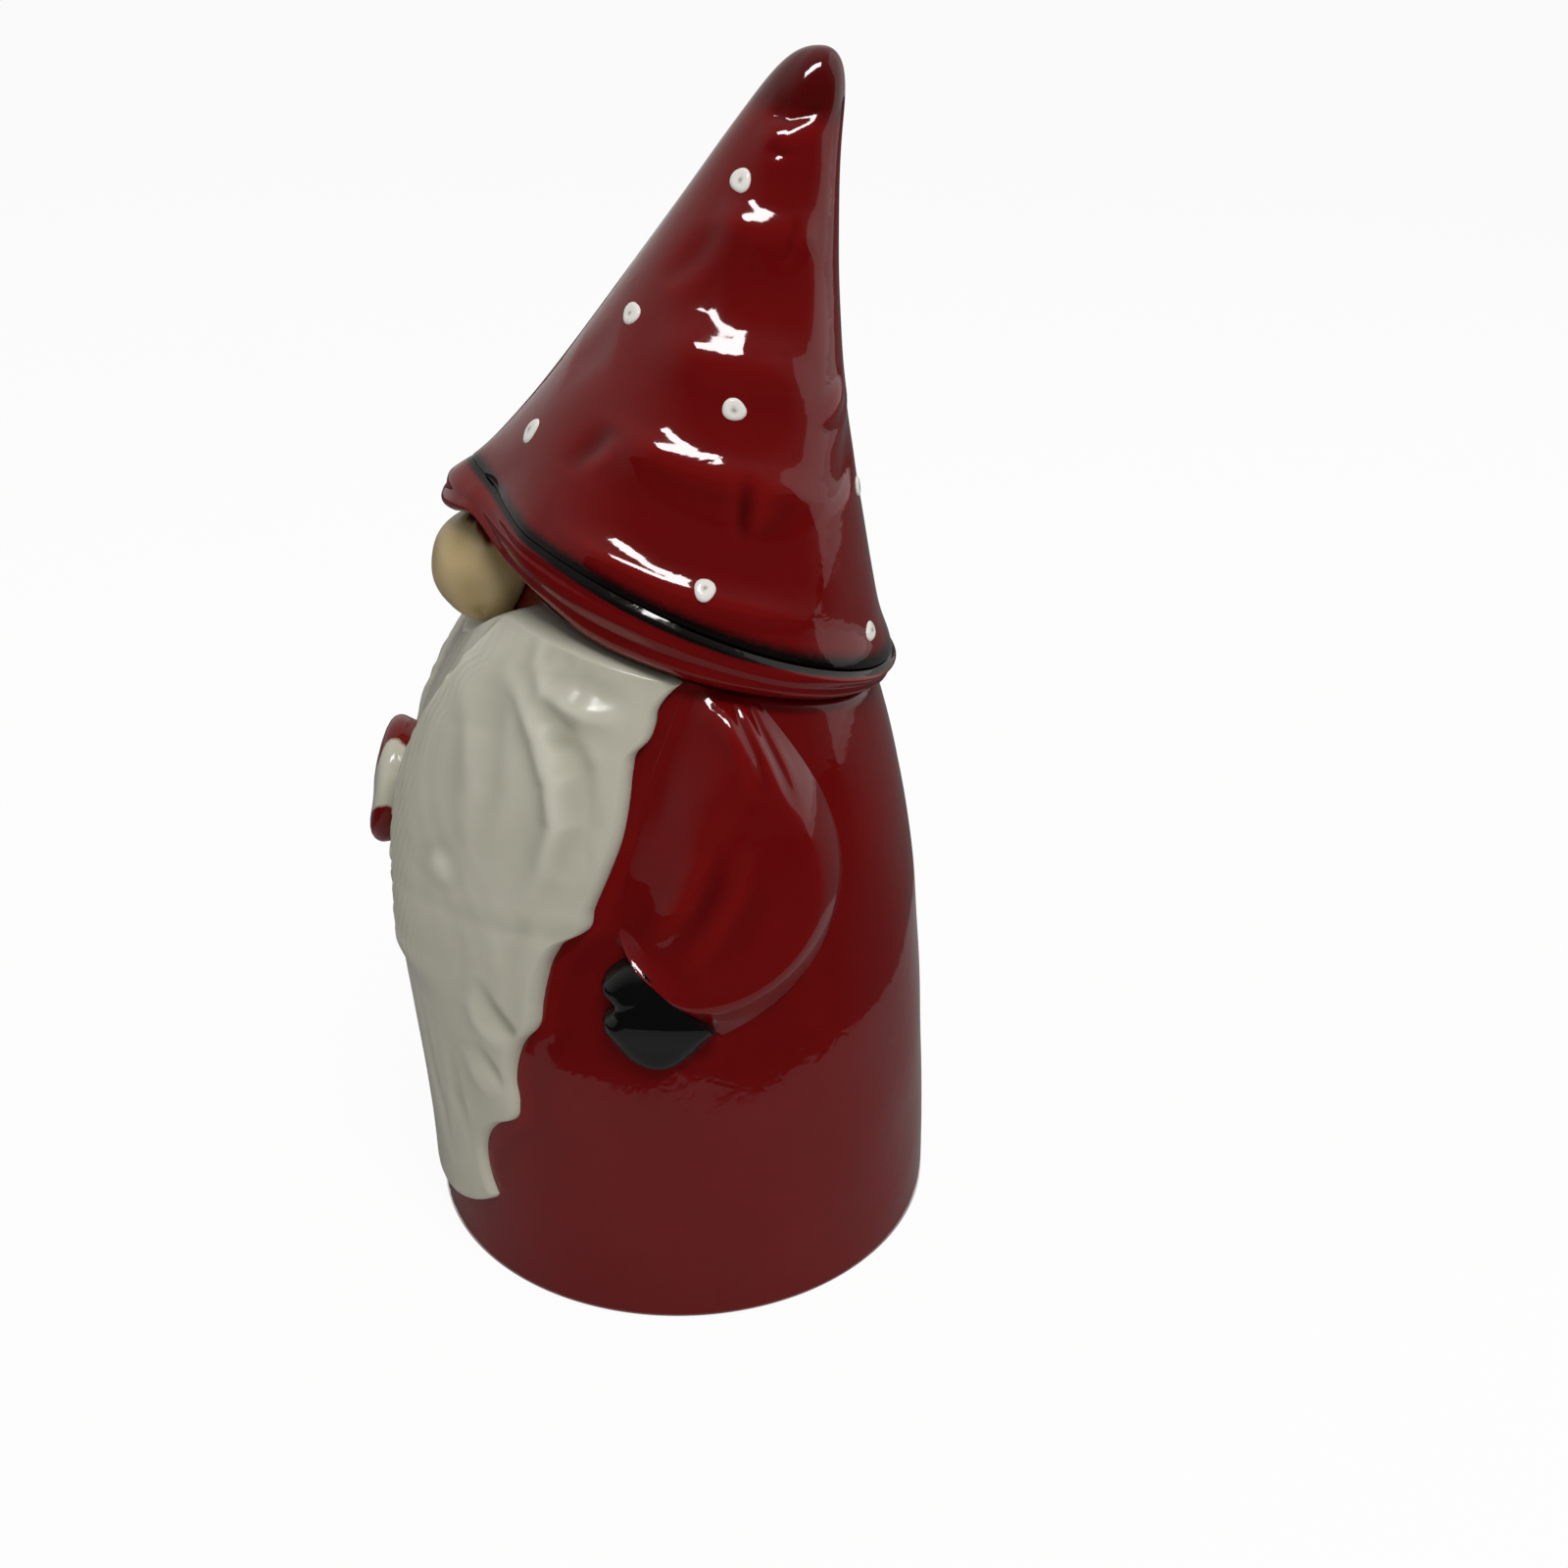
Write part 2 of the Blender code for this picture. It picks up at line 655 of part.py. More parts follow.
def mitten_place(u, v):
    """The square of u and v pressed round into a disc, then stretched to the mitten's outline."""
    x = 2 * u - 1
    y = 2 * v - 1
    disc_x = x * math.sqrt(1 - y * y / 2)
    disc_y = y * math.sqrt(1 - x * x / 2)
    turn = math.atan2(disc_y, disc_x)
    reach = math.hypot(disc_x, disc_y) * mitten_reach(turn)
    along = EDGE_GAP + MITTEN_LENGTH / 2 + reach * math.cos(turn)
    return wrist_place(along, reach * math.sin(turn))


def mitten_stand(u, v):
    rim = max(abs(2 * u - 1), abs(2 * v - 1))
    return mix(MITTEN_THICKNESS, MITTEN_EDGE, rim**ARM_FALL)


def mirrored(place):
    """The same place on the figure's right side."""

    def other_side(u, v):
        angle, height = place(u, v)
        return -angle, height

    return other_side


CANDY_HEIGHT = MOUTH_HEIGHT - CANDY_DROP


def candy_seat_reach():
    """How far the middle of the beard stands out from the axis at the candy's height."""
    low = beard_place(0.5, 0)[1]
    high = beard_place(0.5, 1)[1]
    return jar_radius(CANDY_HEIGHT) + beard_stand(0.5, (CANDY_HEIGHT - low) / (high - low))


def candy_disc():
    """Round boss with a domed face: its back runs on into the beard until the seat is cut."""
    profile = (
        (0.94, -CANDY_RADIUS / 2),
        (0.97, 0.15 * CANDY_THICKNESS),
        (1.0, 0.35 * CANDY_THICKNESS),
        (0.96, 0.6 * CANDY_THICKNESS),
        (0.8, 0.82 * CANDY_THICKNESS),
        (0.45, 0.97 * CANDY_THICKNESS),
        (0.1, CANDY_THICKNESS),
    )
    rings = []
    for share, depth in profile:
        radius = share * CANDY_RADIUS
        turns = RING_ANGLES[::2]
        rings.append([Vector((radius * math.sin(a), -depth, radius * math.cos(a))) for a in turns])
    return lofted(rings)


def dot_dome():
    rings = []
    for share in (0, 0.5, 0.85):
        radius = DOT_RADIUS * math.cos(share * math.pi / 2)
        height = DOT_HEIGHT * math.sin(share * math.pi / 2)
        turns = RING_ANGLES[::4]
        rings.append([Vector((radius * math.cos(a), radius * math.sin(a), height)) for a in turns])
    return lofted(rings)


def build_jar(axis):
    red = glaze("red_glaze", RED, 0.12)
    white = glaze("white_glaze", WHITE, 0.15)
    black = glaze("black_glaze", BLACK, 0.12)
    new_piece("jar_body", jar_body(), red, axis)
    new_piece("beard", relief(beard_place, beard_stand, BEARD_COLUMNS, BEARD_ROWS), white, axis)
    for side, turned in (("left", lambda place: place), ("right", mirrored)):
        sleeve = relief(turned(sleeve_place), sleeve_stand, SLEEVE_COLUMNS, SLEEVE_ROWS)
        mitten = relief(turned(mitten_place), mitten_stand, MITTEN_ROWS, MITTEN_ROWS)
        new_piece(side + "_sleeve", sleeve, red, axis)
        new_piece(side + "_mitten", mitten, black, axis)
    candy = new_piece("peppermint_candy", candy_disc(), white, axis)
    candy.location = (0, -candy_seat_reach(), CANDY_HEIGHT)
    candy.rotation_euler = (-CANDY_TILT, 0, 0)
    seat = relief(beard_place, lambda u, v: beard_stand(u, v) + JOIN_GAP, BEARD_COLUMNS, BEARD_ROWS)
    cut(candy, new_piece("candy_seat", seat, white, axis))


def build_lid(axis):
    red = glaze("lid_red_glaze", RED, 0.12)
    tan = glaze("tan_glaze", TAN, 0.3)
    white = glaze("white_enamel", DOT_WHITE, 0.2)
    new_piece("hat_shell", hat_shell(), red, axis)
    new_piece("hat_brim", hat_brim(), red, axis)
    new_piece("lid_collar", lid_collar(), red, axis)
    nose = new_piece("nose", nose_ball(), tan, axis)
    nose.location = NOSE_CENTRE
    cut(nose, new_piece("nose_seat", nose_seat(), tan, axis))
    places = [BACK_DOT, *SIDE_DOTS, *[(-degrees, share) for degrees, share in SIDE_DOTS]]
    for number, (degrees, share) in enumerate(places, start=1):
        dot = new_piece(f"hat_dot_{number:02d}", dot_dome(), white, axis)
        angle = degrees * DEGREE
        normal = surface_normal(hat_outside, angle, share)
        dot.location = hat_outside(angle, share) + normal * JOIN_GAP
        dot.rotation_euler = normal.to_track_quat("Z", "Y").to_euler()


def build():
    for old in list(bpy.data.objects):
        bpy.data.objects.remove(old)
    front_reach = candy_seat_reach() + CANDY_THICKNESS
    jar_axis = new_empty("jar_axis", (0, (front_reach - BASE_RADIUS) / 2, 0))
    lid_axis = new_empty("lid_axis", (0, 0, 0), jar_axis)
    build_jar(jar_axis)
    build_lid(lid_axis)


build()
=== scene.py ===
"""Gnome cookie jar: glazed earthenware, with a pointed hat that lifts off as the lid.

The gnome faces -Y and its left side is at +X. Forms are worked out round the jar's own axis, with angles
in radians from the front, and moved onto the frame when a piece is made.
"""

import math

import bmesh
import bpy
import numpy as np
from bpy.props import FloatProperty, FloatVectorProperty, PointerProperty
from mathutils import Matrix, Vector


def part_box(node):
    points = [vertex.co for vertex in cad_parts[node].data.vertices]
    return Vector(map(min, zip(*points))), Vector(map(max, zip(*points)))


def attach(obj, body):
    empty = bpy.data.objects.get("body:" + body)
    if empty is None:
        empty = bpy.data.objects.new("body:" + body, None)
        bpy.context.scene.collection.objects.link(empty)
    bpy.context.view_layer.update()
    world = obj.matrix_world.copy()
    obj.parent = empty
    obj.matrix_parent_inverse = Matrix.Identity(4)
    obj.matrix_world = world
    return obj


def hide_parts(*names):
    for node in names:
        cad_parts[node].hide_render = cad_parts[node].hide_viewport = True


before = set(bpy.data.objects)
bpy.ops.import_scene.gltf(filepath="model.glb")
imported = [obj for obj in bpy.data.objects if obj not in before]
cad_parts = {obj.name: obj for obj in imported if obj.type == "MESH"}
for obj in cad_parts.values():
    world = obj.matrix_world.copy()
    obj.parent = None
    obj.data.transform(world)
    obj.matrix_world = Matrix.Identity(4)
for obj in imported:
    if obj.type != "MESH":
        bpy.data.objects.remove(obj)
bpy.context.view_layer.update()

bl_info = {
    "name": "Gnome cookie jar",
    "version": (1, 0, 0),
    "blender": (4, 5, 0),
    "location": "3D View > Sidebar > Gnome Jar",
    "description": "Builds a glazed gnome cookie jar piece by piece, with its studio",
    "category": "Add Mesh",
}

MM = 0.001
JAR_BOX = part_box("jar_body")
AXIS_Y = (JAR_BOX[0].y + JAR_BOX[1].y) / 2  # the jar's axis in the frame
ARM_GIRTH = 60 * MM  # radius at which angles on the jar are read as lengths
SOLVER_STEPS = 12  # rounds in which the wall and the mouth's plane are brought together
PROFILE_STEPS = 200  # points on the wall's curve
HAT_GRID = (224, 190)  # points round the hat, and rings up it
SHARP_EDGE = math.radians(50)  # faces that meet more sharply than this keep their edge
EVEN = 0.5  # point value of glaze at its usual depth
COAT, LINER, CLAY = range(3)  # materials of a hollow casting
MIX_UNDER, MIX_OVER, MIX_RESULT = 6, 7, 2  # a colour mix's sockets


def size(label, millimetres, meaning):
    return FloatProperty(
        name=label, description=meaning, default=millimetres * MM, unit="LENGTH", precision=4
    )


def turn(label, degrees, meaning):
    return FloatProperty(name=label, description=meaning, default=math.radians(degrees), subtype="ANGLE")


def amount(label, default, meaning):
    return FloatProperty(name=label, description=meaning, default=default)


def linear(hex_colour):
    """Linear red, green and blue of an sRGB hex colour."""
    channels = [int(hex_colour[i : i + 2], 16) / 255 for i in (0, 2, 4)]
    return [c / 12.92 if c <= 0.04045 else ((c + 0.055) / 1.055) ** 2.4 for c in channels]


def colour(label, hex_colour, meaning):
    return FloatVectorProperty(
        name=label, description=meaning, default=linear(hex_colour), subtype="COLOR", size=3, min=0, max=1
    )


class GNOME_PG_jar(bpy.types.PropertyGroup):
    """Sizes of the jar"""

    base_radius: size("Base radius", 66, "Radius of the jar at the table")
    side_draw: size("Side draw", 4, "How far the side leans in on its way up")
    side_height: size("Side height", 76, "Height to which the side runs nearly straight")
    shoulder_draw: size("Shoulder draw", 6, "How far the shoulder is drawn in before it curves over")
    shoulder_height: size("Shoulder height", 122, "Height at which the wall starts to curve over")
    crown_radius: size("Crown radius", 37, "Radius at which the wall's curve ends")
    crown_rise: size("Crown rise", 10, "End of the wall's curve above the middle of the mouth")
    wall: size("Wall", 5, "Thickness of the cast wall")
    floor: size("Floor", 7, "Height of the floor inside")
    floor_corner: size("Floor corner", 8, "Rounding between floor and wall inside")
    foot_edge: size("Foot edge", 1.2, "Rounding of the edge at the table")
    foot_ring: size("Foot ring", 9, "Width of the ring that the jar stands on")
    foot_recess: size("Foot recess", 2, "Depth of the hollow under the foot")
    mouth_height: size("Mouth height", 161.1, "Height of the mouth on the jar's axis")
    mouth_slope: amount("Mouth slope", 0.305, "Rise of the mouth towards the front")
    rim_round: size("Rim rounding", 1.4, "Rounding of the rim's edges")


class GNOME_PG_hat(bpy.types.PropertyGroup):
    """Sizes of the lid"""

    line_front_overhang: size("Line front overhang", 10.3, "Painted line in front of the rim")
    line_front_rise: size("Line front rise", 24.6, "Painted line above the rim in front")
    line_back_overhang: size("Line back overhang", 2.3, "Painted line behind the rim")
    line_back_rise: size("Line back rise", 6.2, "Painted line above the rim at the back")
    line_side_overhang: size("Line side overhang", 4, "Painted line outside the rim at the sides")
    height: size("Hat height", 125.3, "Tip above the middle of the mouth")
    tip_setback: size("Tip setback", 29.5, "Tip behind the jar's axis")
    stub_front_run: size("Stub front run", 14.5, "Front of the blunt stub, before the tip")
    stub_front_drop: size("Stub front drop", 10.9, "Front of the blunt stub, below the tip")
    stub_back_run: size("Stub back run", 5.3, "Back of the blunt stub, behind the tip")
    stub_back_drop: size("Stub back drop", 14.4, "Back of the blunt stub, below the tip")
    stub_round: size("Stub rounding", 5.5, "Rounding of the tip")
    stub_back_round: size("Stub back rounding", 8.6, "Rounding of the back of the tip")
    front_foot_run: size("Front foot run", 14.8, "First stretch of the cone's front, back")
    front_foot_rise: size("Front foot rise", 14.2, "First stretch of the cone's front, up")
    front_slope: amount("Front slope", 1.33, "Slope of the cone's front")
    front_reach: size("Front reach", 21, "Straight stretch at the top of the cone's front")
    back_flare: size("Back flare", 7.4, "First stretch of the cone's back, in")
    back_flare_rise: size("Back flare rise", 37, "First stretch of the cone's back, up")
    back_waist: size("Back waist", 2.3, "Lean of the cone's back under the stub")
    back_waist_drop: size("Back waist drop", 47, "Length of the cone's back under the stub")
    wall: size("Wall", 5, "Thickness of the hat's wall")
    flare: size("Flare", 1.5, "How far the hat's foot turns out at the back to meet the brim")
    flare_rise: size("Flare rise", 6, "Height over which the hat's foot turns out")
    brim_seat: size("Brim seat", 3, "Ledge that the brim's top lies against")
    brim_bulge: size("Brim bulge", 2.0, "Swell of the rolled brim")
    visor_bulge: size("Visor bulge", 3.0, "Swell of the brim over the nose")
    brim_ridge: size("Brim ridge", 0.4, "Height of the two ridges along the brim")
    brim_bead: size("Brim bead", 0.6, "Height of the bead under the painted line")
    lip_thickness: size("Lip thickness", 3, "Thickness of the brim's lower lip at the sides")
    back_lip_thickness: size("Back lip thickness", 1.8, "Thickness of the brim's lower lip at the back")
    visor_thickness: size("Visor thickness", 12.5, "Thickness of the brim over the nose")
    visor_angle: turn("Visor angle", 55, "How far round the brim stays thick")
    collar_clearance: size("Collar clearance", 1.5, "Play of the collar in the mouth")
    collar_rise: size("Collar rise", 7, "Collar above the rim")
    collar_depth: size("Collar depth", 10, "Collar below the rim")
    collar_wall: size("Collar wall", 4, "Thickness of the collar")
    nose_radius: size("Nose radius", 13.8, "Radius of the nose")
    nose_standoff: size("Nose standoff", 8.0, "Middle of the nose in front of the lid's wall")
    beak_rise: size("Beak rise", 1.8, "Rise of the painted line over the nose")
    beak_pinch: amount("Beak pinch", 0.6, "Share of the width by which the line is drawn in over the nose")
    beak_fade: amount("Beak fade", 0.26, "Share of the way up at which the beak over the nose has died out")
    dot_radius: size("Dot radius", 2.5, "Radius of an enamel dot")
    dot_height: size("Dot height", 0.55, "Height of an enamel dot")


class GNOME_PG_relief(bpy.types.PropertyGroup):
    """Sizes of the beard, the arms and the candy"""

    beard_bottom: size("Beard bottom", 8, "Lower edge of the beard above the table")
    beard_corner: size("Beard corner", 15, "Rise of the beard's lower edge at its corners")
    beard_low_angle: turn("Beard low angle", 44, "Half width of the beard at the bottom")
    beard_top_angle: turn("Beard top angle", 88, "Half width of the beard at the top")
    beard_low_thickness: size("Beard low thickness", 1.8, "Thickness of the beard at the bottom")
    beard_top_thickness: size("Beard top thickness", 8.5, "Thickness of the beard at the top")
    beard_swell: size("Beard swell", 8.2, "Extra thickness of the beard's fullest part")
    beard_edge: size("Beard edge", 2.2, "Height of the beard's edge above the coat")
    beard_round: size("Beard rounding", 2.6, "Rounding of the beard's edge")
    notch_angle: turn("Nose notch angle", 36, "Half width of the hollow under the nose")
    notch_spare: size("Nose notch spare", 1.5, "Room between nose and beard")
    lock_step: size("Lock step", 3.2, "Step from the side locks down to the middle of the beard")
    shoulder_back: turn("Shoulder back", 111.5, "Back of the shoulder")
    upper_arm: turn("Upper arm", 134, "Back of the upper arm")
    upper_arm_drop: size("Upper arm drop", 29, "Upper arm below the middle of the mouth")
    elbow: turn("Elbow", 147, "Back of the elbow")
    elbow_drop: size("Elbow drop", 59, "Elbow below the middle of the mouth")
    wrist: turn("Wrist", 88.8, "Middle of the cuff")
    wrist_drop: size("Wrist drop", 70.5, "Cuff below the middle of the mouth")
    forearm_fall: turn("Forearm fall", 43, "Slope of the forearm, forwards and down")
    cuff_width: size("Cuff width", 24, "Width of the cuff")
    shoulder_thickness: size("Shoulder thickness", 7.4, "Thickness of the sleeve at the shoulder")
    shoulder_round: size("Shoulder rounding", 22, "Height over which the shoulder rounds off under the brim")
    sleeve_thickness: size("Sleeve thickness", 6.6, "Thickness of the forearm")
    sleeve_facet: size("Sleeve facet", 11, "Width of the slope behind the sleeve's back ridge")
    sleeve_hem: size("Sleeve hem", 0.3, "Thickness of the sleeve along the beard")
    mitten_thickness: size("Mitten thickness", 6.0, "Thickness of the mitten")
    mitten_slope: amount("Mitten slope", 0.45, "Share of the thickness lost towards the lower edge")
    mitten_round: size("Mitten rounding", 4.5, "Rounding of the mitten's edge")
    candy_radius: size("Candy radius", 16, "Radius of the candy")
    candy_thickness: size("Candy thickness", 6.5, "Candy in front of the beard")
    candy_tilt: turn("Candy tilt", 11, "Lean of the candy's face, upwards")


class GNOME_PG_glaze(bpy.types.PropertyGroup):
    """Colours of the glazes and the clay"""

    red: colour("Red", "690A0B", "Red glaze at its usual depth")
    red_deep: colour("Deep red", "440506", "Red glaze where it pools")
    red_thin: colour("Thin red", "801310", "Red glaze where it breaks over a ridge")
    black: colour("Black", "060606", "Black of the mittens")
    # painted shade: the same black is also laid under the brim's lip
    line: colour("Line", "0A0605", "Airbrushed line above the brim")
    white: colour("White", "CDCABA", "Off-white glaze of the beard")
    white_pool: colour("Pooled white", "A5A290", "Off-white glaze where it pools")
    tan: colour("Tan", "C8B285", "Tan glaze of the nose")
    tan_pool: colour("Pooled tan", "AC9463", "Tan glaze in creases")
    dot: colour("Dot", "E9E6DF", "Enamel of the dots")
    dot_middle: colour("Dot middle", "A8A19C", "Thin middle of a dot")
    liner: colour("Liner", "E4E0D4", "Clear glaze over white clay, inside")
    clay: colour("Clay", "D8CDB8", "Unglazed white clay")


class GNOME_PG_studio(bpy.types.PropertyGroup):
    """Camera and light"""

    azimuth: turn("Camera azimuth", 86.3, "Camera's place round the jar from the front")
    elevation: turn("Camera elevation", 26.8, "Camera's height above the horizon")
    roll: turn("Camera roll", 1.32, "Camera's turn about its own axis")
    distance: size("Camera distance", 444.18, "Camera from what it looks at")
    target_back: size("Target back", 25.45, "What the camera looks at, behind the jar's axis")
    target_height: size("Target height", 114.19, "What the camera looks at, above the table")
    lens: amount("Lens", 40.5, "Focal length in millimetres")
    key_power: amount("Key power", 6.5, "Power of the key light")
    fill_power: amount("Fill power", 7.6, "Power of the wide overhead light")
    window_power: amount("Window power", 2.4, "Power of the dim side window")
    room: amount("Room", 0.27, "Strength of the plain grey room")
    floor: colour("Floor", "F2F1EE", "Pale floor")


# Rings of folds round the hat: share of the way up and height in mm.
HAT_PROFILE = (
    (0, 0), (0.03, 0.6), (0.05, 1.3), (0.062, 1.6), (0.075, 1.35), (0.092, 0.5), (0.12, -0.6),
    (0.165, -1.2), (0.215, -1.0), (0.255, 0.2), (0.283, 1.4), (0.295, 1.6), (0.31, 1.3),
    (0.333, 0.55), (0.36, 0.1), (0.385, 0), (0.41, 0.2), (0.447, 1.05), (0.465, 1.3), (0.48, 1.1),
    (0.503, 0.3), (0.53, -0.75), (0.565, -1.4), (0.6, -1.2), (0.64, 0.1), (0.663, 1.1),
    (0.675, 1.3), (0.69, 1.0), (0.708, 0.4), (0.74, 0.1), (0.785, 0.4), (0.812, 0.6), (0.828, 0.1),
    (0.842, -0.7), (0.857, -0.55), (0.88, 0), (0.92, 0.2), (1.0, 0),
)
# Fold lists: height in mm (below zero for a crease), width in mm, and the places that the fold runs through.
# On the hat a place is degrees from the front and share of the way up; on the jar degrees and height in mm.
HAT_FOLDS = (
    (-1.0, 1.3, ((100, 0.315), (102, 0.28), (103, 0.24), (105, 0.2))),
    (0.7, 2.6, ((106, 0.305), (109, 0.27), (111, 0.23))),
    (-1.2, 4.0, ((53, 0.31), (50, 0.25), (45, 0.18))),
    (0.5, 2.4, ((57, 0.29), (54, 0.24), (50, 0.19))),
    (-1.1, 3.2, ((54, 0.66), (50, 0.6), (45, 0.54))),
    (-0.6, 1.2, ((106, 0.715), (107, 0.69), (108, 0.65))),
    (-0.5, 1.0, ((70, 0.8), (82, 0.79), (94, 0.795))),
    (-1.0, 6.0, ((150, 0.3), (158, 0.36), (164, 0.44))),
    (0.9, 4.0, ((140, 0.42), (150, 0.46), (166, 0.49))),
    (-0.8, 6.0, ((16, 0.34), (26, 0.38), (36, 0.42))),
)
BEARD_FOLDS = (
    (2.6, 2.9, ((40, 162), (48, 156), (55, 149), (60, 140), (62, 131), (60, 120), (55, 108))),
    (-1.9, 3.2, ((53, 158), (61, 150), (66, 142), (68, 131), (66, 118))),
    (1.7, 2.6, ((48, 170), (50, 163), (54, 158), (62, 155), (76, 153))),
    (-1.0, 2.8, ((54, 166), (60, 161.5), (68, 159), (79, 157))),
    (-0.8, 3.0, ((36, 161), (43, 149), (46, 135), (45, 118))),
    (0.7, 3.0, ((28, 160), (36, 148), (40, 134), (40, 122))),
    (-0.7, 2.6, ((57, 108), (53, 97), (50, 87))),
    (-1.2, 1.8, ((44, 89), (47, 82), (52, 75), (55, 68))),
    (0.9, 2.4, ((41, 84), (44, 76), (49, 69))),
    (-1.1, 1.7, ((42, 70), (46, 63), (50, 58), (52, 52))),
    (0.8, 2.4, ((39, 67), (42, 59), (46, 53))),
    (-0.7, 2.4, ((33, 62), (34, 48), (37, 34))),
    (-0.6, 2.6, ((22, 70), (22, 54), (25, 38), (28, 24))),
    (-0.6, 2.6, ((8, 66), (9, 50), (7, 34), (9, 20))),
)
SLEEVE_FOLDS = (
    (1.4, 4.0, ((92, 158), (98, 154.5), (104, 151), (109, 146))),
    (-0.8, 1.6, ((103, 160), (105, 153), (108, 146), (110, 138))),
    (-0.7, 1.6, ((108, 158), (111, 150), (114, 142), (117, 132))),
    (0.6, 2.2, ((100, 159), (102, 152), (104, 144), (106, 135))),
    (0.5, 1.8, ((106, 158), (108.5, 151), (111.5, 143), (113, 136))),
    (0.5, 2.6, ((112, 156), (115, 147), (118, 136))),
    (-0.5, 5.0, ((84, 146), (86, 134), (90, 122))),
    (1.1, 3.4, ((78, 100), (84, 107), (90, 116), (94, 128))),
    (-0.9, 2.6, ((84, 99), (91, 108), (96, 118), (99, 130))),
    (0.8, 2.6, ((90, 98), (96, 107), (102, 118), (105, 128))),
    (-0.4, 3.0, ((96, 96), (103, 106), (109, 118))),
)
# Brim by degrees from the front: share of the beak over the nose, then in mm the height of the lower lip
# above the jar's rim and the depth of the black band.
BEAK_REACH = (
    (0, 1), (12, 0.97), (22, 0.83), (29, 0.67), (36, 0.3), (43, 0.03), (50, 0), (60, 0), (180, 0),
)
LIP_LIFT = (
    (0, 14.8), (10, 15.5), (20, 17.2), (27, 17.5), (31, 15.0), (35, 10.8), (40, 7.9), (45, 5.9),
    (50, 3.9), (55, 2.4), (60, 1.3), (67, 0.8), (80, 0.8), (180, 0.8),
)
BAND_DEPTH = (
    (0, 0.4), (30, 0.4), (42, 0.6), (50, 1.1), (60, 1.5), (80, 1.8), (96, 1.6), (117, 1),
    (180, 0.8),
)
# Ridges and groove along the brim: share of the ridge's height, and place and width as shares of its face.
BRIM_RIDGES = ((1, 0.33, 0.13), (0.8, 0.78, 0.13), (-0.7, 0.57, 0.09))
# Front edge of the side locks of the beard: height in mm and degrees from the front.
FRINGE = (
    (70, 17), (78, 17), (89, 18.5), (103, 18), (114, 16), (124, 15), (134, 15.5), (146, 19),
    (158, 25), (172, 32),
)
# White paint ends along these places, from the bottom corner up: degrees from the front and height in mm.
BEARD_EDGE = (
    (45.0, 22), (42.5, 26), (41.0, 31), (41.0, 37), (43.0, 42), (46.5, 46), (50.0, 48.5),
    (51.5, 54), (50.5, 60), (51.0, 66), (53.0, 72), (56.5, 77), (57.5, 84), (58.5, 90), (60.5, 97),
    (63.5, 101.5), (68.0, 104.5), (69.5, 110), (72.5, 118), (75.5, 127), (76.8, 136), (77.2, 142),
    (78.2, 146), (81.2, 148.6), (82.6, 151.5), (83.4, 155), (86.5, 158.2), (92.0, 161.5),
)
# Mitten outline: mm along the forearm from the cuff, and mm across it, thumb side below zero.
MITTEN_OUTLINE = (
    (-0.4, -11.4), (-0.4, -4.0), (-0.4, 4.0), (-0.4, 11.4), (3.6, 12.6), (8.0, 13.0), (12.4, 12.5),
    (15.8, 11.0), (18.3, 7.8), (19.4, 3.4), (19.2, -1.2), (18.2, -5.2), (15.8, -7.6), (12.9, -8.0),
    (12.0, -9.6), (11.9, -12.2), (10.3, -14.4), (7.0, -15.2), (2.6, -14.4),
)
MITTEN_MIDDLE = (7.0, -0.8)
THUMB_CREASE = ((13.5, -8.8), (10.5, -7.2), (7, -5.6), (3.5, -4.6))
MITTEN_ROOT = 1.0 * MM  # how deep the mitten is let into the wall
RIDGE_SOFTNESS = 0.03  # rounding of the sleeve's back ridge
# Beard: degrees and height in mm of the small curl, then pitch and height in mm of strands and of hairs.
CURL = (35, 113)
STRAND_PITCH, STRAND_HEIGHT = 6.4, 0.05
HAIR_PITCH, HAIR_HEIGHT = 1.9, 0.22
# Creases in the nose, in mm from its front and its middle.
NOSE_CREASES = (((16, -9), (19, -7), (22, -6)), ((19, -7), (19.5, -10)), ((4, -9), (7, -7.5), (9, -8.5)))
# Half sections from the root to the middle of the face: shares of the radius and of the height.
CANDY_PROFILE = (
    (0.93, -0.55), (0.95, -0.1), (0.975, 0.15), (0.995, 0.3), (1.0, 0.42), (0.99, 0.55), (0.96, 0.67),
    (0.91, 0.77), (0.83, 0.85), (0.72, 0.91), (0.58, 0.955), (0.42, 0.98), (0.26, 0.99), (0.12, 0.995),
)
DOT_PROFILE = (
    (1.0, -0.6), (1.0, 0.05), (0.93, 0.5), (0.82, 0.82), (0.66, 1.0), (0.45, 0.99), (0.27, 0.93),
    (0.12, 0.9),
)
# Dots: degrees from the front and share of the way up.
SIDE_DOTS = ((58, 0.73), (34, 0.47), (94, 0.41), (22, 0.19), (94, 0.09), (154, 0.06))
BACK_DOT = (170, 0.31)
CONE_SHARE = 0.85  # share of the way up the hat at which the stub starts
ROUND_SHARE = 0.3  # share from which the cone is as wide as it is deep
RING_FADE = ((46, 70), (134, 104))  # degrees over which the rings of folds fade in, and out again
JOIN_GAP = 0.3 * MM  # room at a luted joint
EDGE_GAP = 0.6 * MM  # room beside the brim's free edges


def smoothstep(low, high, value):
    share = np.clip((value - low) / (high - low), 0, 1)
    return share * share * (3 - 2 * share)


def bell(distance, width):
    return np.exp(-((distance / width) ** 2))


def mix(first, last, share):
    return first + (last - first) * share


def quarter_round(distance, radius):
    """0 at an edge, rising like a quarter circle to 1 at that distance from it."""
    return np.sqrt(1 - (1 - np.clip(distance / radius, 0, 1)) ** 2)


def circle(columns):
    """Angles of that many points round a ring."""
    return np.linspace(0, 2 * np.pi, columns, endpoint=False)


def off_front(angle):
    """Radians from the front, alike on both sides."""
    return np.abs(np.angle(np.exp(1j * np.asarray(angle))))


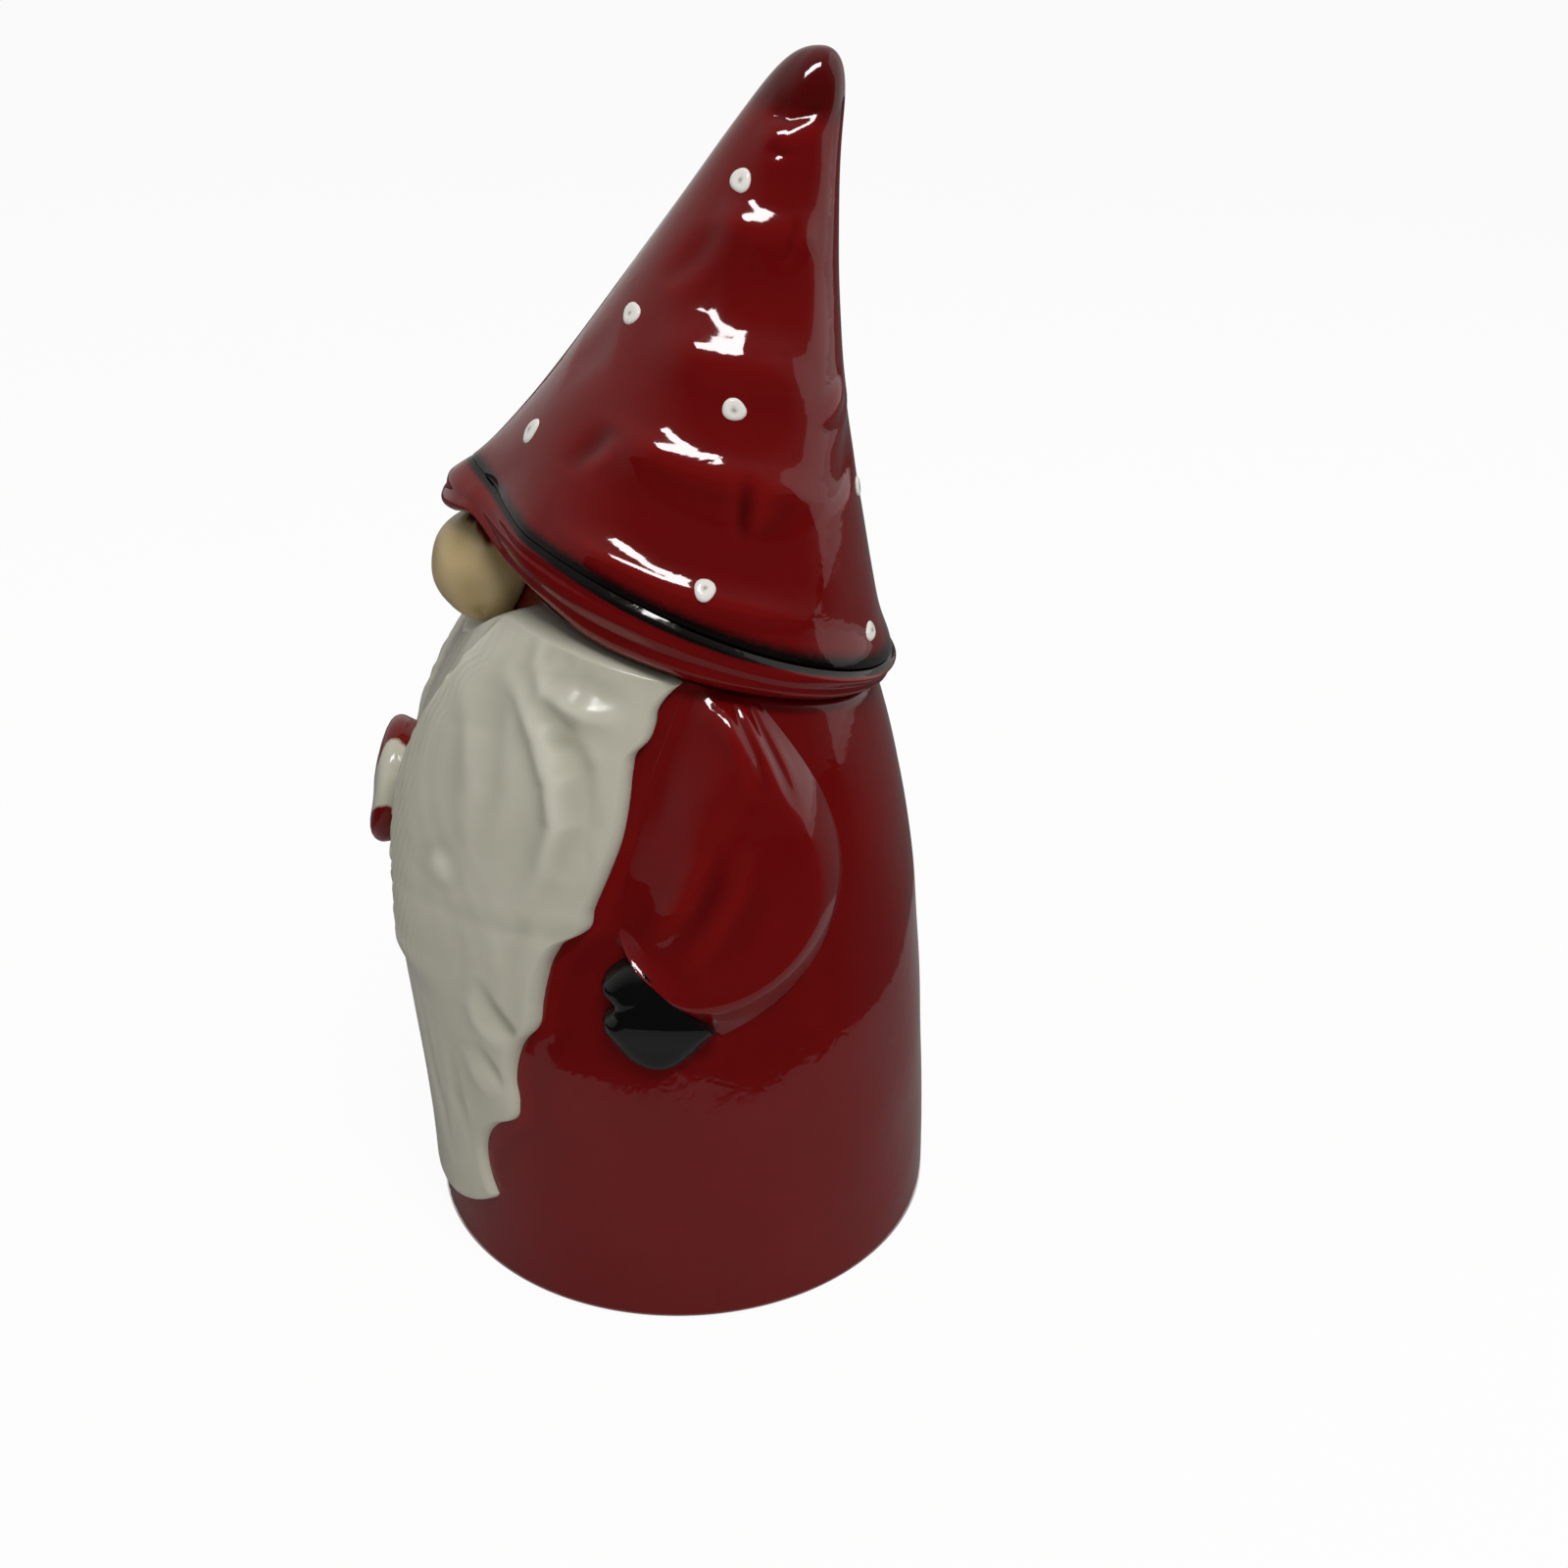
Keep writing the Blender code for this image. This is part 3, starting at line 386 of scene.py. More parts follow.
def bump(angle, half_angle):
    """1 in front, falling smoothly to 0 at half_angle on either side."""
    return np.cos(np.clip(off_front(angle) / half_angle, 0, 1) * np.pi / 2) ** 2


def bezier(corners, share):
    share = np.asarray(share)[..., None]
    rest = 1 - share
    a, b, c, d = np.asarray(corners, float)
    return a * rest**3 + b * 3 * rest**2 * share + c * 3 * rest * share**2 + d * share**3


def column(angle):
    """Unit vectors away from the jar's axis."""
    return np.stack((np.sin(angle), -np.cos(angle), np.zeros_like(angle)), axis=-1)


def lifted(points, height):
    raised = np.array(points, float)
    raised[..., 2] += height
    return raised


def ripples(x, y, pitch):
    """Uneven low waves of about that pitch, from -1 to 1."""
    k = 2 * np.pi / pitch
    waves = np.sin(k * (x + 0.31 * y) + 1.3) + np.sin(k * (0.83 * y - 0.52 * x) + 4.1)
    waves += np.sin(k * (0.61 * x + 0.77 * y) + 2.2) * np.sin(k * 0.37 * (x - y) + 0.7)
    return waves / 3


def along_fold(x, y, path, width):
    """How strongly a fold along the path touches each point: 1 on it, fading sideways and to its ends."""
    path = np.asarray(path, float)
    steps = np.linalg.norm(np.diff(path, axis=0), axis=1)
    reached = np.concatenate(([0], np.cumsum(steps))) / steps.sum()
    nearest = np.full(np.shape(x), np.inf)
    share = np.zeros(np.shape(x))
    for start, end, step, low, high in zip(path, path[1:], steps, reached, reached[1:]):
        run = (end - start) / step
        part = np.clip(((x - start[0]) * run[0] + (y - start[1]) * run[1]) / step, 0, 1)
        gap = np.hypot(x - mix(start[0], end[0], part), y - mix(start[1], end[1], part))
        closer = gap < nearest
        nearest = np.where(closer, gap, nearest)
        share = np.where(closer, mix(low, high, part), share)
    return bell(nearest, width) * np.sin(np.pi * share)


def through(places, x):
    """Smooth curve through those places, read at x."""
    knots, values = np.array(places, float).T
    slopes = np.gradient(values, knots)
    low = np.clip(np.searchsorted(knots, x) - 1, 0, len(knots) - 2)
    step = knots[low + 1] - knots[low]
    t = np.clip((x - knots[low]) / step, 0, 1)
    start = values[low] * (2 * t**3 - 3 * t**2 + 1) + slopes[low] * step * (t**3 - 2 * t**2 + t)
    return start + values[low + 1] * (3 * t**2 - 2 * t**3) + slopes[low + 1] * step * (t**3 - t**2)


def by_angle(places, angle):
    """Value from a list of degrees from the front and values, alike on both sides."""
    return through(places, np.degrees(off_front(angle)))


def folded(angle, height, folds):
    """Height of all the folds on the jar at those places, alike on both sides but for a small shift."""
    strength = np.where(angle >= 0, 1.0, 0.94)
    x = np.abs(angle) * ARM_GIRTH / MM
    y = height / MM + np.where(angle >= 0, 0, 1.5)
    total = np.zeros(np.shape(x))
    for rise, width, places in folds:
        path = [(math.radians(degrees) * ARM_GIRTH / MM, level) for degrees, level in places]
        total += rise * along_fold(x, y, path, width)
    return total * strength * MM


class JarForm:
    """The jar's surface: every relief, and the lid's seat, is measured from it."""

    def __init__(self, sizes):
        self.sizes = sizes
        corners = (
            (sizes.base_radius, 0),
            (sizes.base_radius - sizes.side_draw, sizes.side_height),
            (sizes.base_radius - sizes.shoulder_draw, sizes.shoulder_height),
            (sizes.crown_radius, sizes.mouth_height + sizes.crown_rise),
        )
        self.radii, self.heights = bezier(corners, np.linspace(0, 1, PROFILE_STEPS)).T

    def radius(self, height):
        return np.interp(height, self.heights, self.radii)

    def on_wall(self, angle, height, offset=0.0):
        reach = self.radius(height) + offset
        return lifted(column(angle) * np.asarray(reach)[..., None], height)

    def plane(self, points, lift=0.0):
        """The points moved up or down onto the mouth's plane, or to that height above it."""
        placed = np.array(points, float)
        placed[..., 2] = self.sizes.mouth_height + lift - self.sizes.mouth_slope * placed[..., 1]
        return placed

    def rim(self, angle, inset=0.0, lift=0.0):
        """Where the wall, drawn in by inset, meets the mouth's plane."""
        angle = np.asarray(angle, float)
        height = np.full(np.shape(angle), self.sizes.mouth_height)
        for _ in range(SOLVER_STEPS):
            height = self.plane(self.on_wall(angle, height, -inset))[..., 2]
        return self.plane(self.on_wall(angle, height, -inset), lift)


class LidForm:
    """The hat's surface, and the seats of brim, nose and collar on it."""

    def __init__(self, jar, sizes):
        self.jar = jar
        self.sizes = sizes
        front = jar.rim(0.0) + (0, -sizes.line_front_overhang, sizes.line_front_rise)
        back = jar.rim(np.pi) + (0, sizes.line_back_overhang, sizes.line_back_rise)
        tip = np.array((0, sizes.tip_setback, jar.sizes.mouth_height + sizes.height))
        stub_front = tip - (0, sizes.stub_front_run, sizes.stub_front_drop)
        stub_back = tip + (0, sizes.stub_back_run, -sizes.stub_back_drop)
        front_run = np.array((0, 1, sizes.front_slope))
        back_run = np.array((0, sizes.back_waist, sizes.back_waist_drop))
        round_off = np.array((0, sizes.stub_round, 0))
        front_foot = front + (0, sizes.front_foot_run, sizes.front_foot_rise)
        back_foot = back + (0, -sizes.back_flare, sizes.back_flare_rise)
        back_lift = back_run / np.linalg.norm(back_run) * sizes.stub_back_round
        self.tip = tip
        self.front = (
            (front, front_foot, stub_front - front_run * sizes.front_reach, stub_front),
            (stub_front, stub_front + front_run * sizes.stub_round, tip - round_off, tip),
        )
        self.back = (
            (back, back_foot, stub_back - back_run, stub_back),
            (stub_back, stub_back + back_lift, tip + round_off, tip),
        )
        self.half_width = jar.rim(np.pi / 2)[0] + sizes.line_side_overhang
        self.half_length = np.linalg.norm(front - back) / 2
        self.lip_front = float(self.lip(np.zeros(1))[0])
        nose_height = self.lip_front - EDGE_GAP - sizes.nose_radius
        self.nose = self.skirt_at(np.zeros(1), nose_height)[0] - (0, sizes.nose_standoff, 0)
        self.slant = np.linalg.norm(stub_front - front) + sizes.stub_front_drop

    def side(self, pieces, share):
        cone, stub = pieces
        low = bezier(cone, np.clip(share / CONE_SHARE, 0, 1))
        high = bezier(stub, np.clip((share - CONE_SHARE) / (1 - CONE_SHARE), 0, 1))
        return np.where((share < CONE_SHARE)[..., None], low, high)

    def point(self, angle, share, inset=0.0):
        """Share 0 is the painted line and 1 the tip, and inset draws the ring in."""
        angle, share = np.broadcast_arrays(np.asarray(angle, float), np.asarray(share, float))
        front = self.side(self.front, share)
        back = self.side(self.back, share)
        half = (front - back) / 2
        length = np.maximum(np.linalg.norm(half, axis=-1), 1e-6)
        flat = mix(self.half_width / self.half_length, 1, np.minimum(share / ROUND_SHARE, 1))
        along = half * ((1 - inset / length) * np.cos(angle))[..., None]
        across = (length * flat - inset) * np.sin(angle)
        placed = (front + back) / 2 + along
        placed[..., 0] += across
        beak = np.clip(1 - share / self.sizes.beak_fade, 0, 1) ** 2 * by_angle(BEAK_REACH, angle)
        placed[..., 0] *= 1 - self.sizes.beak_pinch * beak
        placed[..., 2] += self.sizes.beak_rise * beak
        return placed

    def flare(self, angle):
        """How far the hat's foot turns out: not over the nose, and most at the back."""
        return self.sizes.flare * smoothstep(0.6, 2.0, off_front(angle))

    def lip(self, angle):
        """Height of the brim's lower lip."""
        return self.jar.rim(angle)[..., 2] + by_angle(LIP_LIFT, angle) * MM

    def skirt_bottom(self, angle):
        return self.jar.rim(angle, 0.6 * MM, JOIN_GAP)

    def skirt_top(self, angle):
        return self.point(angle, 0.0, self.sizes.brim_seat)

    def skirt_at(self, angle, height):
        """Points of the lid's wall behind the brim, at those heights."""
        bottom = self.skirt_bottom(angle)
        top = self.skirt_top(angle)
        share = (height - bottom[..., 2]) / (top[..., 2] - bottom[..., 2])
        return mix(bottom, top, share[..., None])

    def collar(self, angle, inset=0.0):
        return self.jar.rim(angle, self.jar.sizes.wall + self.sizes.collar_clearance + inset)

    def ring_radius(self, share):
        """Half the way from the cone's front to its back."""
        return np.linalg.norm(self.side(self.front, share) - self.side(self.back, share), axis=-1) / 2

    def folds(self, angle, share):
        """Height of the slouched folds at those places of the cone, a little shifted on the right side."""
        right = (np.angle(np.exp(1j * angle)) < 0) * smoothstep(0, 0.3, np.sin(off_front(angle)))
        x = off_front(angle) * self.ring_radius(share) / MM
        y = share * self.slant / MM + 3 * right
        away = np.degrees(off_front(angle))
        fade_in, fade_out = RING_FADE
        rings = smoothstep(*fade_in, away) * smoothstep(*fade_out, away)
        sag = 0.0006 * np.clip(away - 82, 0, 60) + 0.0004 * np.clip(62 - away, 0, 40)
        total = through(HAT_PROFILE, share - sag + 0.02 * right) * rings
        for rise, width, places in HAT_FOLDS:
            degrees, levels = np.array(places).T
            path = np.stack((np.radians(degrees) * self.ring_radius(levels), levels * self.slant), axis=-1)
            total += rise * along_fold(x, y, path / MM, width)
        total += 0.12 * ripples(x, y, 27)
        return total * smoothstep(0.0, 0.03, share) * smoothstep(1.0, 0.93, share) * MM


def jar_form(context):
    return JarForm(context.scene.gnome_jar)


def lid_form(context):
    return LidForm(jar_form(context), context.scene.gnome_hat)


def surface_normals(grid):
    """Unit normals of rings of points, from ring to ring and round each ring."""
    around = np.roll(grid, -1, axis=1) - np.roll(grid, 1, axis=1)
    along = np.gradient(grid, axis=0)
    normals = np.cross(around, along)
    return normals / np.maximum(np.linalg.norm(normals, axis=-1, keepdims=True), 1e-12)


def pooled(height, rounds=6):
    """Where glaze lies thick: above EVEN in a hollow of the height field and below it on a ridge."""
    full_pool = 1.4 * MM  # hollow or ridge at which the colour has changed by half its range
    soft = np.array(height, float)
    for _ in range(rounds):
        sides = np.roll(soft, 1, axis=1) + np.roll(soft, -1, axis=1)
        ends = np.vstack((soft[:1], soft[:-1])) + np.vstack((soft[1:], soft[-1:]))
        soft = soft * 0.4 + (sides + ends) * 0.15
    return np.clip(EVEN + (soft - height) / full_pool, 0, 1)


def ring_faces(first, rings, columns, wrap=True):
    """Quads between rings of points that lie one after the other in the point list."""
    faces = []
    for row in range(rings - 1):
        low = first + row * columns
        high = low + columns
        for i in range(columns if wrap else columns - 1):
            j = (i + 1) % columns
            faces.append((low + i, low + j, high + j, high + i))
    return faces


def fan(centre, ring):
    return [(centre, ring[i - 1], ring[i]) for i in range(len(ring))]


def capped(rings, first_middle, last_middle):
    """Points and faces of a closed form: rings of points, and a middle point that closes each end."""
    columns = len(rings[0])
    count = len(rings) * columns
    points = np.concatenate([*rings, [first_middle, last_middle]])
    faces = ring_faces(0, len(rings), columns)
    faces += fan(count, list(range(columns)))
    faces += fan(count + 1, list(range(count - columns, count)))
    return points, faces


def hoop(rings):
    """Points and faces of a hoop, whose last ring of points meets the first one again."""
    columns = len(rings[0])
    points = np.concatenate(rings)
    faces = ring_faces(0, len(rings), columns)
    last = len(points) - columns
    faces += [(last + i, last + (i + 1) % columns, (i + 1) % columns, i) for i in range(columns)]
    return points, faces


def pad(outer, inner):
    """Points and faces of a closed pad from two grids of the same shape."""
    rows, columns = outer.shape[:2]
    points = np.concatenate((outer.reshape(-1, 3), inner.reshape(-1, 3)))
    count = rows * columns
    faces = ring_faces(0, rows, columns, wrap=False)
    faces += [tuple(reversed(face)) for face in ring_faces(count, rows, columns, wrap=False)]
    place = np.arange(count).reshape(rows, columns)
    border = np.concatenate((place[0], place[1:, -1], place[-1, -2::-1], place[-2:0:-1, 0])).tolist()
    faces += [(b, a, count + a, count + b) for a, b in zip([border[-1], *border], border)]
    return points, faces


def wall_pad(form, angle, height, thickness, root, rounds):
    """Points, faces and looks of a pad of clay on the jar, with its root that deep in the wall."""
    outer = form.on_wall(angle, height, thickness)
    points, faces = pad(outer, form.on_wall(angle, height, -root))
    pool = np.full(len(points), EVEN)
    pool[: thickness.size] = pooled(thickness, rounds).ravel()
    return points, faces, [("pool", pool)]


def new_piece(name, points, faces, materials, looks=(), face_looks=None):
    """Object of that name in the frame, with its faces pointing out and its looks kept as point values."""
    mesh = bpy.data.meshes.new(name)
    placed = np.array(points, float) + (0, AXIS_Y, 0)
    mesh.from_pydata(placed.tolist(), [], faces)
    for material in materials:
        mesh.materials.append(material)
    if face_looks is not None:
        mesh.polygons.foreach_set("material_index", face_looks)
    for label, values in looks:
        layer = mesh.attributes.new(label, "FLOAT", "POINT")
        layer.data.foreach_set("value", np.asarray(values, np.float32).ravel())
    builder = bmesh.new()
    builder.from_mesh(mesh)
    bmesh.ops.recalc_face_normals(builder, faces=builder.faces)
    builder.to_mesh(mesh)
    builder.free()
    mesh.shade_smooth()
    mesh.set_sharp_from_angle(angle=SHARP_EDGE)
    piece = bpy.data.objects.new(name, mesh)
    bpy.context.scene.collection.objects.link(piece)
    return piece


def seated(piece, body, slot, *nodes):
    """Hangs the piece on the body's empty, in place of those nodes, which are hidden."""
    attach(piece, body)
    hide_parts(*nodes)
    return piece


def new_material(name):
    material = bpy.data.materials.new(name)
    material.use_nodes = True
    material.node_tree.nodes.clear()
    return material


def add(material, kind, inputs=(), **settings):
    """A shader node of that kind with its settings; an input gets a value, or a link from a node's socket."""
    tree = material.node_tree
    made = tree.nodes.new("ShaderNode" + kind)
    for name, value in settings.items():
        setattr(made, name, value)
    for key, value in dict(inputs).items():
        if isinstance(value, bpy.types.NodeSocket):
            tree.links.new(value, made.inputs[key])
        else:
            made.inputs[key].default_value = value
    return made


def rgba(value):
    return (*value[:3], 1)


def red_glaze(context):
    """Red gloss glaze brushed over slip-cast earthenware and fired: glass-smooth with a slight wave from the
    brush, deeper where it pools, brighter where it breaks over a ridge, with an airbrushed black line. The same
    black is painted as shade under the brim."""
    glaze = context.scene.gnome_glaze
    drift, stroke, droplet = 22 * MM, 7 * MM, 1.2 * MM
    material = new_material("red_gloss_glaze_on_earthenware")
    place = add(material, "TexCoord").outputs["Object"]
    cloud = add(material, "TexNoise", {"Vector": place, "Scale": 1 / drift, "Detail": 3.0}).outputs["Fac"]
    strokes = {"Vector": place, "Scale": 1 / stroke, "Detail": 2.0, "Distortion": 0.6}
    brush = add(material, "TexNoise", strokes).outputs["Fac"]
    pool = add(material, "Attribute", attribute_name="pool").outputs["Fac"]
    depth = add(material, "Math", {0: cloud, 1: 0.16, 2: pool}, operation="MULTIPLY_ADD").outputs[0]
    ramp = add(material, "ValToRGB", {"Fac": depth})
    stops = ramp.color_ramp.elements
    stops.new(0.58)
    tones = ((0.25, glaze.red_thin), (0.58, glaze.red), (0.95, glaze.red_deep))
    for stop, (position, tone) in zip(stops, tones):
        stop.position = position
        stop.color = rgba(tone)
    # The line attribute carries the airbrushed black line, and painted shade under the brim's lip.
    line = add(material, "Attribute", attribute_name="line").outputs["Fac"]
    spray = add(material, "TexNoise", {"Vector": place, "Scale": 1 / droplet, "Detail": 2.0}).outputs["Fac"]
    ragged = add(material, "Math", {0: spray, 1: 0.35, 2: line}, operation="MULTIPLY_ADD").outputs[0]
    cover = add(material, "MapRange", {"Value": ragged, "From Min": 0.22, "From Max": 1.1}).outputs[0]
    colours = {0: cover, MIX_UNDER: ramp.outputs["Color"], MIX_OVER: rgba(glaze.line)}
    paint = add(material, "Mix", colours, data_type="RGBA").outputs[MIX_RESULT]
    gloss = add(material, "MapRange", {"Value": brush, "To Min": 0.035, "To Max": 0.085}).outputs[0]
    wave = add(material, "Bump", {"Height": cloud, "Strength": 0.35, "Distance": 0.6 * MM}).outputs[0]
    marks = {"Height": brush, "Normal": wave, "Strength": 0.45, "Distance": 0.22 * MM}
    skin = add(material, "Bump", marks).outputs[0]
    finish = {"Base Color": paint, "Roughness": gloss, "IOR": 1.52, "Normal": skin}
    shader = add(material, "BsdfPrincipled", finish)
    add(material, "OutputMaterial", {"Surface": shader.outputs[0]})
    return material


def two_tone_glaze(name, thin, thick, roughness, grain, wave_depth, painted=None):
    """A glaze that is one colour where thin and another where it pools, with a brushed wave of that grain.
    What is painted on it is added by a function that takes the material, a place and the colour's socket."""
    material = new_material(name)
    place = add(material, "TexCoord").outputs["Object"]
    drift = 3.5 * grain
    cloud = add(material, "TexNoise", {"Vector": place, "Scale": 1 / drift, "Detail": 4.0}).outputs["Fac"]
    brush = add(material, "TexNoise", {"Vector": place, "Scale": 1 / grain, "Detail": 2.0}).outputs["Fac"]
    pool = add(material, "Attribute", attribute_name="pool").outputs["Fac"]
    depth = add(material, "Math", {0: cloud, 1: 0.4, 2: pool}, operation="MULTIPLY_ADD").outputs[0]
    share = add(material, "MapRange", {"Value": depth, "From Min": 0.5, "From Max": 1.05}).outputs[0]
    colours = {0: share, MIX_UNDER: rgba(thin), MIX_OVER: rgba(thick)}
    tone = add(material, "Mix", colours, data_type="RGBA").outputs[MIX_RESULT]
    if painted:
        tone = painted(material, place, tone)
    spread = {"Value": brush, "To Min": roughness * 0.7, "To Max": roughness * 1.4}
    gloss = add(material, "MapRange", spread).outputs[0]
    skin = add(material, "Bump", {"Height": brush, "Strength": 0.35, "Distance": wave_depth}).outputs[0]
    finish = {"Base Color": tone, "Roughness": gloss, "IOR": 1.5, "Normal": skin}
    shader = add(material, "BsdfPrincipled", finish)
    add(material, "OutputMaterial", {"Surface": shader.outputs[0]})
    return material


def white_glaze(context):
    """Off-white tin glaze over relief: softly glossy, greyer in the grooves between strands."""
    glaze = context.scene.gnome_glaze
    return two_tone_glaze("off_white_tin_glaze", glaze.white, glaze.white_pool, 0.2, 8 * MM, 0.2 * MM)


def black_glaze(context):
    """Black gloss glaze, brushed: deep and mirror-like, a touch greyer where it is thin."""
    black = context.scene.gnome_glaze.black
    return two_tone_glaze("black_gloss_glaze", [c * 2.2 for c in black], black, 0.06, 6 * MM, 0.2 * MM)


def liner_glaze(context):
    """Clear glaze over white clay: even and glossy, as the inside of such jars is."""
    liner = context.scene.gnome_glaze.liner
    thick = [c * 0.88 for c in liner]
    return two_tone_glaze("clear_glaze_on_white_clay", liner, thick, 0.12, 10 * MM, 0.2 * MM)


def bare_clay(context):
    """Unglazed white earthenware, wiped before firing: matte and finely gritty."""
    clay = context.scene.gnome_glaze.clay
    damp = [c * 0.8 for c in clay]
    return two_tone_glaze("unglazed_white_earthenware", clay, damp, 0.75, 0.8 * MM, 0.15 * MM)


def tan_glaze(context):
    """Tan satin stain on clay: soft sheen, darker in creases, with red glaze that ran down from the brim."""
    glaze = context.scene.gnome_glaze

    def runs(material, place, tone):
        cover = add(material, "Attribute", attribute_name="runs").outputs["Fac"]
        colours = {0: cover, MIX_UNDER: tone, MIX_OVER: rgba(glaze.red)}
        return add(material, "Mix", colours, data_type="RGBA").outputs[MIX_RESULT]

    name = "tan_satin_stain_on_clay"
    return two_tone_glaze(name, glaze.tan, glaze.tan_pool, 0.3, 4 * MM, 0.25 * MM, runs)


def dot_enamel(context):
    """White enamel dabbed on with a brush tip: raised at its edge, thin and grey in the middle."""
    glaze = context.scene.gnome_glaze
    return two_tone_glaze("dabbed_white_enamel", glaze.dot, glaze.dot_middle, 0.12, 1.5 * MM, 0.08 * MM)


def candy_glaze(context):
    """White glaze with hand-painted red wedges that swirl from the middle: glossy, soft brush edges."""
    glaze = context.scene.gnome_glaze

    def wedges(material, place, tone):
        bristle = 3 * MM
        swirl = add(material, "Attribute", attribute_name="swirl").outputs["Fac"]
        brush = add(material, "TexNoise", {"Vector": place, "Scale": 1 / bristle, "Detail": 2.0}).outputs["Fac"]
        edge = add(material, "Math", {0: brush, 1: 0.5, 2: swirl}, operation="MULTIPLY_ADD").outputs[0]
        cover = add(material, "MapRange", {"Value": edge, "From Min": 0.15, "From Max": 0.35}).outputs[0]
        colours = {0: cover, MIX_UNDER: tone, MIX_OVER: rgba(glaze.red)}
        return add(material, "Mix", colours, data_type="RGBA").outputs[MIX_RESULT]

    name = "white_glaze_with_red_swirl"
    return two_tone_glaze(name, glaze.white, glaze.white_pool, 0.1, 6 * MM, 0.15 * MM, wedges)


def shared(make, context):
    """The material that make gives, made once and kept by the function's name."""
    kept = context.scene.get("gnome_materials", {})
    if make.__name__ in kept:
        return bpy.data.materials[kept[make.__name__]]
    material = make(context)
    context.scene["gnome_materials"] = {**dict(kept), make.__name__: material.name}
    return material


def cast_looks(context):
    """Materials of a hollow casting, in the order of COAT, LINER and CLAY."""
    return [shared(make, context) for make in (red_glaze, liner_glaze, bare_clay)]


def beard_edge(height):
    """Angle from the front at which the white paint ends at that height."""
    places = [(level, degrees) for degrees, level in BEARD_EDGE]
    return np.radians(through(places, np.asarray(height) / MM))


class GNOME_OT_jar(bpy.types.Operator):
    """Throw the jar: foot, wall, tilted rim and liner"""

    bl_idname = "gnome.jar"
    bl_label = "Jar"

    def execute(self, context):
        form = jar_form(context)
        sizes = form.sizes
        columns, rows = 192, 110
        angle = circle(columns)
        rings, looks = [], []

        def ring(look, points):
            rings.append(points)
            looks.append(look)

        def level_ring(look, radius, height):
            ring(look, lifted(column(angle) * radius, height))

        edge, recess = sizes.foot_edge, sizes.foot_recess
        foot = sizes.base_radius - edge - sizes.foot_ring
        level_ring(CLAY, 0.5 * foot, recess)
        level_ring(CLAY, foot - recess, recess)
        level_ring(CLAY, foot - 0.3 * recess, 0.3 * recess)
        level_ring(CLAY, foot, 0)
        level_ring(CLAY, sizes.base_radius - edge, 0)
        for bend in np.radians((22, 45, 68)):
            level_ring(COAT, sizes.base_radius - edge * (1 - np.sin(bend)), edge * (1 - np.cos(bend)))
        first = len(rings) * columns
        angles, height, swell = self.wall(form, angle, rows)
        for row in form.on_wall(angles, height, swell):
            ring(COAT, row)
        over = form.rim(angle, sizes.rim_round)
        inner_rim = form.rim(angle, sizes.wall)
        ring(COAT, mix(form.rim(angle), over, 0.3))
        ring(CLAY, over)
        ring(CLAY, form.rim(angle, sizes.wall - sizes.rim_round))
        ring(LINER, lifted(inner_rim, -sizes.rim_round))
        floor_top = sizes.floor + sizes.floor_corner
        for down in np.linspace(0, 1, 24)[1:]:
            level = mix(inner_rim[:, 2] - sizes.rim_round, floor_top, down)
            ring(LINER, form.on_wall(angle, level, -sizes.wall))
        inner = form.radius(floor_top) - sizes.wall
        for bend in np.radians((30, 60, 90)):
            reach = inner - sizes.floor_corner * (1 - np.cos(bend))
            level_ring(LINER, reach, floor_top - sizes.floor_corner * np.sin(bend))
        level_ring(LINER, 0.5 * inner, sizes.floor)
        points, faces = capped(rings, (0, 0, recess), (0, 0, sizes.floor))
        face_looks = np.repeat([*looks[:-1], CLAY, LINER], columns).tolist()
        pool = np.full(len(points), EVEN)
        pool[first : first + rows * columns] = pooled(swell).ravel()
        piece = new_piece("jar_coat", points, faces, cast_looks(context), [("pool", pool)], face_looks)
        seated(piece, "jar", "red_glaze", "jar_body")
        return {"FINISHED"}

    def wall(self, form, angle, rows):
        """Angles, heights and unevenness of the coat: low waves, and a soft bank of glaze along the beard."""
        bank, bank_place, bank_width = 0.45 * MM, 1.5 * MM, 3.6 * MM
        wave_height, wave_pitch = 0.22 * MM, 31
        top = form.rim(angle)[:, 2] - form.sizes.rim_round
        share = np.linspace(0, 1, rows)[:, None]
        height = mix(form.sizes.foot_edge, top, share)
        angles = np.broadcast_to(np.where(angle > np.pi, angle - 2 * np.pi, angle), height.shape)
        from_beard = (np.abs(angles) - beard_edge(height)) * form.radius(height)
        swell = bank * bell(from_beard - bank_place, bank_width)
        swell *= smoothstep(20 * MM, 34 * MM, height) * smoothstep(150 * MM, 120 * MM, height)
        wave = wave_height * ripples(angles * ARM_GIRTH / MM, height / MM, wave_pitch)
        wave *= smoothstep(0, 0.1, share) * smoothstep(1, 0.9, share)
        return angles, height, swell + wave


